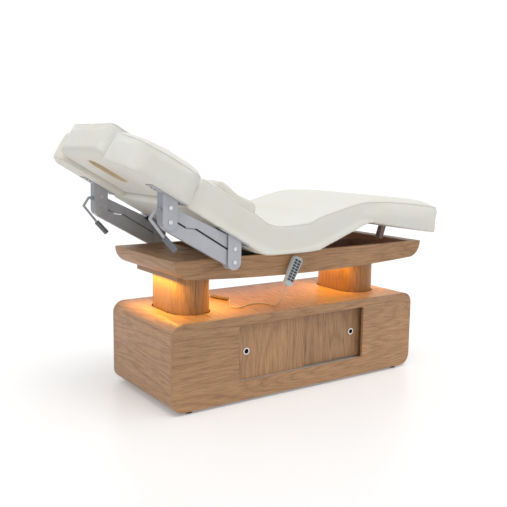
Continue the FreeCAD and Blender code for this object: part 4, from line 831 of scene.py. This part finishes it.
# ------------------------------------------------------------------ pads
FACES_UP = 0.80


def rim_of(node):
    """The line round a pad's top: where the faces that look up meet its sides."""
    bm = copied(node)
    upper = {f for f in bm.faces if f.normal.dot(BACK_UP) > FACES_UP}
    edges = [e for e in bm.edges if sum(f in upper for f in e.link_faces) == 1]
    nexts = {}
    for edge in edges:
        for a, b in (edge.verts, reversed(edge.verts)):
            nexts.setdefault(a, []).append(b)
    loops = []
    left = set(nexts)
    for first in nexts:
        if first not in left:
            continue
        left.discard(first)
        loop = [first]
        while True:
            onward = [v for v in nexts[loop[-1]] if v in left]
            if not onward:
                break
            left.discard(onward[0])
            loop.append(onward[0])
        loops.append([v.co.copy() for v in loop])
    bm.free()
    return max(loops, key=len_of)


def len_of(loop):
    return sum((loop[i] - loop[i - 1]).length for i in range(len(loop)))


def pad(name, node, body, cover, cap, inset, fill, smooth_times, hold=None):
    """A pad that fills a CAD node's place."""
    piece = new_piece(name, copied(node), cover)
    fill_pad(piece, soft().pad_voxel, cap, inset, hold, smooth_times)
    subdivide(piece)
    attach(piece, body)
    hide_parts(node)
    return piece


HEAD_FAR, HEAD_NEAR, HEAD_HALF = -0.907, -0.502, 0.236
HEAD_LOW, HEAD_TOP = 0.0145, 0.172
SEAM_LOW, SEAM_DEPTH, SEAM_HALF = 0.045, 0.0060, 0.0042
FACE_X, FACE_LONG, FACE_WIDE = -0.728, 0.200, 0.100
LINING_WALL = 0.0022
BELOW, ABOVE = -0.05, 0.25


def stadium(middle, long, wide, low, high):
    """An upright block with round ends, along the back section."""
    bm = bmesh.new()
    reach = (long - wide) / 2
    radius = wide / 2
    rim = []
    for end in (1, -1):
        for k in range(17):
            turn = math.pi * (k / 16 - 0.5)
            rim.append((middle + end * (reach + radius * math.cos(turn)), end * radius * math.sin(turn), low))
    base = bm.faces.new([bm.verts.new(co) for co in rim])
    push_out(bm, [base], (0, 0, high - low))
    bmesh.ops.recalc_face_normals(bm, faces=bm.faces)
    bm.transform(BACK)
    return bm


class BED_OT_head(bpy.types.Operator):
    """Make the head cushion, wrapped round its board, with its face opening and the opening's lining"""

    bl_idname = "bed.head"
    bl_label = "Head cushion"

    def execute(self, context):
        cover = MATERIALS["upholstery"]
        side = [
            (HEAD_FAR, 0.031, 0.006), (-0.858, HEAD_LOW, 0.020), (HEAD_NEAR, HEAD_LOW, 0),
            (HEAD_NEAR, 0.151, 0.006), (-0.700, HEAD_TOP, 0.080), (HEAD_FAR, HEAD_TOP, 0.014),
        ]
        plan = [
            (HEAD_FAR, -HEAD_HALF, 0.034), (HEAD_NEAR, -HEAD_HALF, 0),
            (HEAD_NEAR, HEAD_HALF, 0), (HEAD_FAR, HEAD_HALF, 0.034),
        ]
        bm = thicken(outline(bmesh.new(), side), -HEAD_HALF, HEAD_HALF)
        bm.transform(BACK)
        piece = new_piece("head_pad", bm, cover)
        bm = thicken(outline(bmesh.new(), plan), -0.3, 0.3)
        bm.transform(BACK @ Matrix.Rotation(math.pi / 2, 4, "X"))
        combine(piece, "INTERSECT", bm)
        combine(piece, "DIFFERENCE", stadium(FACE_X, FACE_LONG, FACE_WIDE, BELOW, ABOVE))
        in_order(piece)
        fill_pad(piece, soft().pad_voxel, 0.004, 0.002, looks_down, smooth_times=3)
        subdivide(piece)
        self.press_seam(piece)
        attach(piece, "backrest")
        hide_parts("head_cushion")
        welt("head_welt", piece, rim_of("head_cushion"), "backrest")
        self.lining()
        return {"FINISHED"}

    def press_seam(self, piece):
        """Press the seam along the cushion's middle into its cover."""
        outward = [vert.normal.copy() for vert in piece.data.vertices]
        for vert, way in zip(piece.data.vertices, outward):
            spot = INTO_BACK @ vert.co
            if spot.z > SEAM_LOW:
                vert.co -= way * SEAM_DEPTH * math.exp(-((spot.y / SEAM_HALF) ** 2))

    def lining(self):
        """A thin cloth sleeve in the face opening."""
        cloth = painted("opening lining", (0.88, 0.80, 0.66), rough=0.8, grain=420.0, strength=0.3)
        long, wide = FACE_LONG + LINING_WALL, FACE_WIDE + LINING_WALL
        sleeve = stadium(FACE_X, long, wide, HEAD_LOW + 0.002, HEAD_TOP - 0.018)
        piece = new_piece("face_lining", sleeve, cloth)
        long, wide = FACE_LONG - 2 * LINING_WALL, FACE_WIDE - 2 * LINING_WALL
        combine(piece, "DIFFERENCE", stadium(FACE_X, long, wide, BELOW, ABOVE))
        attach(piece, "backrest")


# Where an armrest's rounding starts above its board, how near its rim the crown fades, and over
# what length from the head end the rim comes down.
ARM_LOW, CROWN_FADE, DROP_RUN = 0.045, 0.026, 0.160


class BED_OT_arms(bpy.types.Operator):
    """Make both armrests"""

    bl_idname = "bed.arms"
    bl_label = "Armrests"

    def execute(self, context):
        cover = MATERIALS["upholstery"]
        for side in ("right", "left"):
            node, body = f"{side}_armrest", f"{side}_arm"
            piece = pad(
                f"{side}_arm_pad", node, body, cover, cap=0.004, inset=0.001, fill=0.95,
                smooth_times=5, hold=looks_down,
            )
            rim = rim_of(node)
            head = min((INTO_BACK @ p).x for p in rim)
            self.crown(piece, rim, head)
            line = [p - BACK_UP * self.drop_at(p, head) for p in rim]
            welt(f"{side}_arm_welt", piece, line, body)
        return {"FINISHED"}

    def drop_at(self, point, head):
        """How far the rim is lowered: not at the head end, and in full further on."""
        return soft().drop * share((INTO_BACK @ point).x, head, DROP_RUN)

    def crown(self, piece, rim, head):
        """Round a pad's top: its rim lowered, its middle raised."""
        find = nearest_on(rim)
        for vert in piece.data.vertices:
            spot, _, away = find(vert.co)
            part = share((INTO_BACK @ vert.co).z, ARM_LOW, (INTO_BACK @ spot).z - ARM_LOW)
            fade = math.exp(-away / CROWN_FADE)
            rise = soft().crown - (soft().crown + self.drop_at(spot, head)) * fade
            vert.co += BACK_UP * rise * part * part


class BED_OT_pillow(bpy.types.Operator):
    """Make the loose contour pillow"""

    bl_idname = "bed.pillow"
    bl_label = "Pillow"

    def execute(self, context):
        pad(
            "neck_pillow", "pillow", "pillow", MATERIALS["pillow"], cap=0.008, inset=0.005, fill=0.7,
            smooth_times=4,
        )
        return {"FINISHED"}


# ------------------------------------------------------------------ cords
CABINET_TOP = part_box("cabinet_shell")[1].z
CORD_ROUND = 0.0026
LIES = CABINET_TOP + CORD_ROUND + 0.0004
HANGING = [
    (-0.03275, -0.3354, 0.55831), (-0.04375, -0.3324, 0.52431), (-0.03875, -0.3094, 0.48831),
    (-0.0240, -0.262, LIES + 0.018), (-0.017, -0.226, LIES), (-0.020, -0.180, LIES),
    (-0.037, -0.137, LIES), (-0.078, -0.117, LIES), (-0.126, -0.132, LIES), (-0.178, -0.161, LIES),
    (-0.214, -0.160, LIES), (-0.218, -0.122, LIES), (-0.196, -0.078, LIES), (-0.168, -0.034, LIES),
    (-0.152, -0.010, LIES + 0.003), (-0.14786, 0.01552, LIES + 0.0059),
]
ONWARD = [
    (-0.18096, 0.13190, LIES + 0.0059), (-0.18739, 0.15451, LIES + 0.0029), (-0.214, 0.188, LIES),
    (-0.262, 0.206, LIES), (-0.310, 0.203, LIES), (-0.346, 0.182, LIES), (-0.360, 0.166, LIES),
    (-0.3682, 0.156, LIES - 0.0004),
]


def cord_curve(name, points, material):
    cord = round_line(name, points, CORD_ROUND, False, 12, 4)
    cord.data.materials.append(material)
    return cord


class BED_OT_cords(bpy.types.Operator):
    """Lay the hand control's cord: down to the cabinet, through its connector and into the column"""

    bl_idname = "bed.cords"
    bl_label = "Cords"

    def execute(self, context):
        sheath = painted("cord sheath", (0.76, 0.755, 0.74), rough=0.46, grain=500.0, strength=0.12)
        first = cord_curve("cord_to_connector", HANGING, sheath)
        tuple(HANGING[0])
        second = cord_curve("cord_to_column", ONWARD, sheath)
        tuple(ONWARD[0])
        for piece in (first, second):
            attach(piece, "base")
        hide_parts("cord")
        # The sleeve's brown is painted amber light from the strips.
        sleeve = painted("connector sleeve", (0.50, 0.42, 0.36), rough=0.4, grain=500.0, strength=0.1)
        wear(sleeve, "cord_connector")
        return {"FINISHED"}


# ------------------------------------------------------------------ CAD nodes' finishes
# Each veneer: its grain's axis, the tints of its light and dark parts, its seed and its nodes.
VENEERS = {
    "oak panels": ("X", (1.0,), (1.0,), 0.0, ("cabinet_front", "cabinet_back")),
    # The wrap's lighter tint is painted light on the cabinet's ends, and lightens its top as well.
    "oak wrap": ("Y", (1.07,), (1.05,), 3.0, ("cabinet_shell",)),
    "oak door, front": ("Z", (1.0,), (1.0,), 7.0, ("door_left",)),
    # The rear door's darker tint is painted shade: it sits recessed behind the front door.
    "oak door, rear": ("Z", (0.965,), (0.95,), 29.0, ("door_right",)),
    "oak tray boards": ("X", (1.05, 1.04, 1.01), (1.0,), 11.0, ("tray_sides",)),
    "oak tray lid": ("Y", (0.90,), (0.86,), 13.0, ("tray_top",)),
    # The columns' yellower tint is painted amber light from the strips above them.
    "oak columns": ("Z", (1.03, 0.98, 0.74), (1.0,), 17.0, ("column_shrouds",)),
}
# The tray's end walls, and the height over its floor that the laminate covers.
END_WALL, WELL_TALL = 0.0715, 0.121
BELOW_FLOOR = 0.0025


class BED_OT_covers(bpy.types.Operator):
    """Mix the upholstery's vinyl, and cover the boards with it"""

    bl_idname = "bed.covers"
    bl_label = "Vinyl"

    def execute(self, context):
        MATERIALS["upholstery"] = vinyl("upholstery vinyl")
        MATERIALS["pillow"] = vinyl("pillow vinyl", 0.985)
        wear(MATERIALS["upholstery"], "back_board", "seat_board", "thigh_board", "calf_board")
        return {"FINISHED"}


class BED_OT_wood(bpy.types.Operator):
    """Veneer the cabinet, doors, tray and columns"""

    bl_idname = "bed.wood"
    bl_label = "Veneer"

    def execute(self, context):
        for name, (along, light_tint, dark_tint, seed, nodes) in VENEERS.items():
            wear(oak(name, along, light_tint, dark_tint, seed), *nodes)
        lid = NODES["tray_top"].data.materials[0]
        # Painted shade: every face of the lid that isn't level, the walls of its slots among them, is turned
        # nearly black.
        facing(lid, "Z", 0.5, (0.12, 0.09, 0.07), size=True)
        wear(self.tray_pan(), "tray_pan")
        board = painted("bay laminate", (0.56, 0.44, 0.35), rough=0.5, grain=260.0, strength=0.1)
        wear(board, "storage_box")
        return {"FINISHED"}

    def tray_pan(self):
        """Oak outside; plain brown laminate on the floor and ends of the well."""
        r = Recipe(material=oak("oak tray ends", "Y", seed=19.0))
        low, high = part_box("tray_pan")
        middle = (low.x + high.x) / 2
        along = r.math("COMPARE", r.part(r.place, "X"), middle, (high.x - low.x) / 2 - END_WALL)
        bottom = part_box("tray_frame")[0].z - BELOW_FLOOR
        up = r.math("COMPARE", r.part(r.place, "Z"), bottom + WELL_TALL / 2, WELL_TALL / 2)
        return r.recolour(r.math("MULTIPLY", along, up), finish().inside)


# The link plates' thickness, and how far they stand in from the links' open edges.
PLATE_WALL, PLATE_IN = 0.0014, 0.0016


class BED_OT_steel(bpy.types.Operator):
    """Paint the linkages and frames, and plate the bolts"""

    bl_idname = "bed.steel"
    bl_label = "Steelwork"

    def execute(self, context):
        coat = self.coat("linkage coat")
        names = ["back_hinge_plate", "thigh_frame", "calf_hinge_plate", "handset_hook"]
        for side in ("right", "left"):
            names += [f"{side}_upper_link", f"{side}_lower_link", f"{side}_lever"]
        wear(coat, *names)
        self.link_plates(coat)
        # Painted shade on the brackets' faces that look towards the head end.
        bracket = facing(self.coat("bracket coat"), "X", -0.7, finish().web_shade)
        wear(bracket, "hip_brackets", "right_arm_bracket", "left_arm_bracket")
        wear(painted("frame coat", (0.68, 0.55, 0.47), rough=0.45, grain=600.0), "tray_frame")
        zinc = brushed("zinc plate", (0.86, 0.87, 0.88), "Y", 0.24)
        wear(zinc, "hip_bolts", "right_arm_bolts", "left_arm_bolts", "frame_pins", "knee_pin")
        wear(brushed("chrome rods", (0.80, 0.81, 0.82), "X", 0.2), "back_rod", "leg_rod")
        drive = painted("drive housing", (0.62, 0.63, 0.64), rough=0.45, grain=400.0, strength=0.1)
        wear(drive, "actuators")
        tubes = painted("column tubes", (0.34, 0.33, 0.32), rough=0.45, metal=0.4)
        wear(tubes, "column_outers", "column_inners")
        grip = painted("lever grips", finish().grip, rough=0.5, grain=300.0, strength=0.2)
        wear(grip, "right_grip", "left_grip")
        wear(painted("prop legs", (0.66, 0.56, 0.52), rough=0.45), "prop_legs")
        return {"FINISHED"}

    def coat(self, name):
        return painted(name, finish().steel, rough=0.36, metal=0.15, grain=700.0, strength=0.08)

    def link_plates(self, coat):
        """Close each link's open side with a thin plate of the link's own outline."""
        for name, side in (("right", -1), ("left", 1)):
            for link in ("upper", "lower"):
                bm = copied(f"{name}_{link}_link")
                outer = max(abs(v.co.y) for v in bm.verts)
                inner = min(abs(v.co.y) for v in bm.verts)
                away = [
                    f for f in bm.faces
                    if abs(f.normal.y) < 0.99 or abs(f.calc_center_median().y) < outer - 1e-4
                ]
                bmesh.ops.delete(bm, geom=away, context="FACES")
                push_out(bm, bm.faces[:], (0, -side * PLATE_WALL, 0))
                bmesh.ops.translate(bm, verts=bm.verts, vec=(0, side * (inner - outer + PLATE_IN), 0))
                piece = new_piece(f"{name}_{link}_link_plate", bm, coat, f"{name}_{link}_link", smooth=False)


CUP_RADIUS = 0.0122


class BED_OT_trim(bpy.types.Operator):
    """Finish the door pulls, tracks, feet and light strips"""

    bl_idname = "bed.trim"
    bl_label = "Trim"

    def execute(self, context):
        wear(brushed("track aluminium", (0.80, 0.80, 0.80), "X", 0.3), "door_tracks")
        wear(painted("rubber feet", (0.055, 0.055, 0.06), rough=0.6, grain=240.0, strength=0.2), "feet")
        for name in ("door_left_pull", "door_right_pull"):
            wear(self.pull(name), name)
        wear(self.strips(), "led_strips")
        return {"FINISHED"}

    def strips(self):
        """A lit diffuser that looks down, in a housing of the tray's colour."""
        r = Recipe("light strips")
        below = r.math("LESS_THAN", r.part(r.normal, "Z"), -0.7)
        frost = r.noise(r.place, 300.0, 2.0)
        case = r.ramp(frost, [(0.3, (0.64, 0.50, 0.37)), (0.7, (0.68, 0.53, 0.39))])
        tone = r.mix(below, case, linear((1.0, 0.86, 0.60)))
        glow = r.math("MULTIPLY", below, 0.8)
        return r.finish(
            Base_Color=tone, Roughness=0.5, Emission_Color=linear((1.0, 0.80, 0.46)), Emission_Strength=glow,
        )

    def pull(self, node):
        """A chromed ring whose cup is dark inside."""
        low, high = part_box(node)
        middle = (low + high) / 2
        r = Recipe(node + " chrome")
        centred = r.node("ShaderNodeMapping", {"Vector": r.place, "Location": (-middle.x, 0, -middle.z)})
        flat = r.node("ShaderNodeVectorMath", operation="MULTIPLY")
        r.set(flat.inputs[0], centred.outputs["Vector"])
        flat.inputs[1].default_value = (1, 0, 1)
        reach = r.node("ShaderNodeVectorMath", operation="LENGTH")
        r.set(reach.inputs[0], flat.outputs["Vector"])
        cup = r.math("LESS_THAN", reach.outputs["Value"], CUP_RADIUS)
        fine = r.noise(r.place, 900.0, 2.0)
        bright = r.ramp(fine, [(0.3, (0.84, 0.84, 0.85)), (0.7, (0.92, 0.92, 0.93))])
        tone = r.mix(cup, bright, linear((0.16, 0.13, 0.11)))
        metal = r.math("SUBTRACT", 1.0, cup)
        return r.finish(Base_Color=tone, Metallic=metal, Roughness=0.16, Normal=r.edge(0.0008))


# How far in from the hand control's front its film reaches, and the key pads' size to the keys'.
FILM_DEPTH, KEY_SCALE = 0.0006, 1.75


class BED_OT_handset(bpy.types.Operator):
    """Finish the hand control"""

    bl_idname = "bed.handset"
    bl_label = "Hand control"

    def execute(self, context):
        low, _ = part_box("handset_body")
        r = Recipe("hand control case")
        face = r.math("LESS_THAN", r.part(r.place, "Y"), low.y + FILM_DEPTH)
        grain = r.noise(r.place, 700.0, 2.0)
        case = r.ramp(grain, [(0.3, tinted(finish().handset, 0.96)), (0.7, finish().handset)])
        film = r.ramp(grain, [(0.3, (0.72, 0.76, 0.76)), (0.7, (0.77, 0.80, 0.80))])
        tone = r.mix(face, case, film)
        bump = r.bump(grain, 0.08, 0.0004, r.edge(0.002))
        wear(r.finish(Base_Color=tone, Roughness=0.42, Normal=bump), "handset_body")
        keys = painted("hand control keys", (0.22, 0.25, 0.30), rough=0.45, grain=500.0, strength=0.1)
        bm = copied("handset_keys")
        for key in islands(bm):
            middle = sum((v.co for v in key), Vector()) / len(key)
            around = Matrix.Translation(-middle)
            bmesh.ops.scale(bm, verts=key, vec=(KEY_SCALE, 1.0, KEY_SCALE), space=around)
        piece = new_piece("handset_pads", bm, keys, "handset")
        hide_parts("handset_keys")
        return {"FINISHED"}


# ------------------------------------------------------------------ small pieces
SCREW_RADIUS, SCREW_TALL = 0.0048, 0.0028
FLANGE_MIDDLE = 0.352
HIP_FLANGE, ARM_FLANGE = -0.0152, -0.0102
STOP_X, STOP_Y = -0.276, 0.354
# Painted shade: how far the black strips reach below and above the upper link's lower edge, and across the
# link.
SHADE_BELOW, SHADE_ABOVE = 0.0038, 0.0034
SHADE_IN, SHADE_OUT = 0.3812, 0.3842


def screw_heads(name, body, spots, material):
    """Domed screw heads under a flange: spots are (x, y, z) in the back section's own frame."""
    bm = bmesh.new()
    for spot in spots:
        made = bmesh.ops.create_uvsphere(bm, u_segments=16, v_segments=8, radius=SCREW_RADIUS)
        bmesh.ops.scale(bm, verts=made["verts"], vec=(1, 1, SCREW_TALL / SCREW_RADIUS))
        bmesh.ops.translate(bm, verts=made["verts"], vec=spot)
    bm.transform(BACK)
    piece = new_piece(name, bm, material, body)


class BED_OT_details(bpy.types.Operator):
    """Add the flange screws, the rubber stops under the backrest, and black strips of painted shade in the
    gap between the links
    """

    bl_idname = "bed.details"
    bl_label = "Screws and stops"

    def execute(self, context):
        zinc = brushed("screw plate", (0.50, 0.50, 0.52), "Y", 0.35)
        rubber = painted("rubber stops", (0.05, 0.05, 0.055), rough=0.55, grain=300.0, strength=0.15)
        spots = [(x, side * FLANGE_MIDDLE, HIP_FLANGE) for side in (-1, 1) for x in (-0.136, -0.118)]
        screw_heads("hip_screws", "backrest", spots, zinc)
        self.stops(rubber)
        # The black rubber here paints the shade in the gap between the upper and lower links.
        self.gap_shade_strips(rubber)
        for name, side in (("right", -1), ("left", 1)):
            spots = [(x, side * FLANGE_MIDDLE, ARM_FLANGE) for x in (-0.668, -0.650, -0.545, -0.528)]
            screw_heads(f"{name}_arm_screws", f"{name}_arm", spots, zinc)
        return {"FINISHED"}

    def stops(self, rubber):
        """A rubber stop on its stud, on each side."""
        bm = bmesh.new()
        for side in (-1, 1):
            for radius, tall, z in ((0.015, 0.012, -0.028), (0.006, 0.010, -0.019)):
                made = bmesh.ops.create_cone(
                    bm, cap_ends=True, segments=28, radius1=radius, radius2=radius, depth=tall
                )
                bmesh.ops.translate(bm, verts=made["verts"], vec=(STOP_X, side * STOP_Y, z))
        round_edges(bm, 0.0025, 3)
        bm.transform(BACK)
        piece = new_piece("back_stops", bm, rubber, "backrest")

    def gap_shade_strips(self, rubber):
        """Black strips along the lower edge of each upper link, beside the bend in the middle: painted shade
        in the gap between the upper and lower link.
        """
        stretches = (((-0.548, -0.0872), (-0.4515, -0.0880)), ((-0.4020, -0.0700), (-0.192, -0.0745)))
        for name, side in (("right", -1), ("left", 1)):
            low, high = sorted((side * SHADE_IN, side * SHADE_OUT))
            bm = bmesh.new()
            for (x0, z0), (x1, z1) in stretches:
                lower = [(x0, z0 - SHADE_BELOW, 0), (x1, z1 - SHADE_BELOW, 0)]
                upper = [(x1, z1 + SHADE_ABOVE, 0), (x0, z0 + SHADE_ABOVE, 0)]
                add_to(bm, thicken(outline(bmesh.new(), lower + upper), low, high))
            bm.transform(BACK)
            piece = new_piece(f"{name}_link_seal", bm, rubber, f"{name}_upper_link", smooth=False)


# ------------------------------------------------------------------ stage
CAMERA_SPOT = (-2.193, -3.142, 1.241)
AZIMUTH, PITCH, ROLL = math.radians(-34.92), math.radians(8.45), math.radians(0.80)
KEY_FROM = Vector((-0.05, -0.30, 1.0))
# Each lit strip's middle along the bed, its width and its share of the power. The last one is the
# wide stretch between the strips.
STRIP_LIGHTS = (
    (-0.568, 0.020, 1.0), (-0.312, 0.020, 1.0), (0.520, 0.020, 0.55), (0.776, 0.020, 0.55),
    (0.104, 0.700, 0.9),
)
STRIP_LONG = 0.420
FLOOR_RADIUS = 40


class BED_OT_stage(bpy.types.Operator):
    """Set the camera, the floor and the light"""

    bl_idname = "bed.stage"
    bl_label = "Stage"

    def execute(self, context):
        scene = context.scene
        stage = scene.bed_stage
        scene.view_settings.view_transform = "Standard"
        self.camera(scene, stage)
        self.key_light(stage)
        lamps = [self.strip_light(stage, f"glow_{k}", *strip) for k, strip in enumerate(STRIP_LIGHTS)]
        self.floor(stage, lamps)
        self.world(scene, stage)
        return {"FINISHED"}

    def camera(self, scene, stage):
        data = bpy.data.cameras.new("camera")
        data.lens = stage.lens
        data.sensor_width = 36
        camera = placed("camera", data)
        camera.location = CAMERA_SPOT
        turn = Matrix.Rotation(AZIMUTH, 3, "Z") @ Matrix.Rotation(math.pi / 2 - PITCH, 3, "X")
        camera.rotation_euler = (turn @ Matrix.Rotation(ROLL, 3, "Z")).to_euler()
        scene.camera = camera

    def key_light(self, stage):
        data = bpy.data.lights.new("key", "SUN")
        data.energy = stage.key
        data.angle = math.radians(38)
        placed("key", data).rotation_euler = KEY_FROM.to_track_quat("Z", "Y").to_euler()

    def strip_light(self, stage, name, x, wide, part):
        """The light that a stretch of the tray's underside throws down on the cabinet."""
        data = bpy.data.lights.new(name, "AREA")
        data.shape = "RECTANGLE"
        data.size = wide
        data.size_y = STRIP_LONG
        data.energy = stage.glow * part
        data.color = linear(finish().glow)[:3]
        data.spread = math.radians(140)
        lamp = placed(name, data)
        lamp.location = (x, 0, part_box("led_strips")[0].z - 0.002)
        lamp.visible_camera = False
        return lamp

    def floor(self, stage, lamps):
        """A pale floor that the strips don't light."""
        bm = bmesh.new()
        bmesh.ops.create_circle(bm, cap_ends=True, segments=96, radius=FLOOR_RADIUS)
        mesh = bpy.data.meshes.new("floor")
        bm.to_mesh(mesh)
        bm.free()
        floor = placed("floor", mesh)
        mesh.materials.append(self.floor_material(stage))
        unlit = bpy.data.collections.new("beyond the strips")
        unlit.objects.link(floor)
        unlit.collection_objects[0].light_linking.link_state = "EXCLUDE"
        for lamp in lamps:
            lamp.light_linking.receiver_collection = unlit

    def floor_material(self, stage):
        r = Recipe("floor")
        cloud = r.noise(r.place, 3.0, 3.0)
        tone = r.ramp(cloud, [(0.3, (0.903, 0.90, 0.896)), (0.7, (0.908, 0.906, 0.903))])
        glow = r.math("MULTIPLY", r.seen(), stage.floor_glow)
        return r.finish(
            Base_Color=tone, Roughness=0.32, Specular_IOR_Level=0.25,
            Emission_Color=(1, 1, 1, 1), Emission_Strength=glow,
        )

    def world(self, scene, stage):
        """A plain level of light from all round, and white wherever the world is seen."""
        scene.world = bpy.data.worlds.new("studio")
        scene.world.use_nodes = True
        nodes = Nodes(scene.world.node_tree)
        background = nodes.tree.nodes["Background"].inputs
        levels = {"Factor": nodes.seen(), "A": stage.sky, "B": 1.0}
        strength = nodes.node("ShaderNodeMix", levels, data_type="FLOAT").outputs["Result"]
        nodes.set(background["Color"], (1, 1, 1, 1))
        nodes.set(background["Strength"], strength)


class BED_PT_panel(bpy.types.Panel):
    """The bed's settings and its pieces"""

    bl_label = "Facial treatment bed"
    bl_idname = "BED_PT_panel"
    bl_space_type = "VIEW_3D"
    bl_region_type = "UI"
    bl_category = "Bed"

    def draw(self, context):
        scene = context.scene
        for settings in (scene.bed_finish, scene.bed_soft, scene.bed_stage):
            box = self.layout.box()
            for key in settings.__annotations__:
                box.prop(settings, key)
        for operator in OPERATORS:
            self.layout.operator(operator.bl_idname)


SETTINGS = (FinishSettings, SoftSettings, StageSettings)
OPERATORS = (
    BED_OT_stage, BED_OT_cords, BED_OT_covers, BED_OT_mattress, BED_OT_head, BED_OT_arms, BED_OT_pillow,
    BED_OT_wood, BED_OT_steel, BED_OT_trim, BED_OT_handset, BED_OT_details,
)


def register():
    for kind in (*SETTINGS, *OPERATORS, BED_PT_panel):
        bpy.utils.register_class(kind)
    bpy.types.Scene.bed_finish = PointerProperty(type=FinishSettings)
    bpy.types.Scene.bed_soft = PointerProperty(type=SoftSettings)
    bpy.types.Scene.bed_stage = PointerProperty(type=StageSettings)


def unregister():
    for name in ("bed_finish", "bed_soft", "bed_stage"):
        delattr(bpy.types.Scene, name)
    for kind in reversed((*SETTINGS, *OPERATORS, BED_PT_panel)):
        bpy.utils.unregister_class(kind)


def main():
    register()
    for operator in OPERATORS:
        family, name = operator.bl_idname.split(".")
        getattr(getattr(bpy.ops, family), name)()


if __name__ == "__main__":
    main()
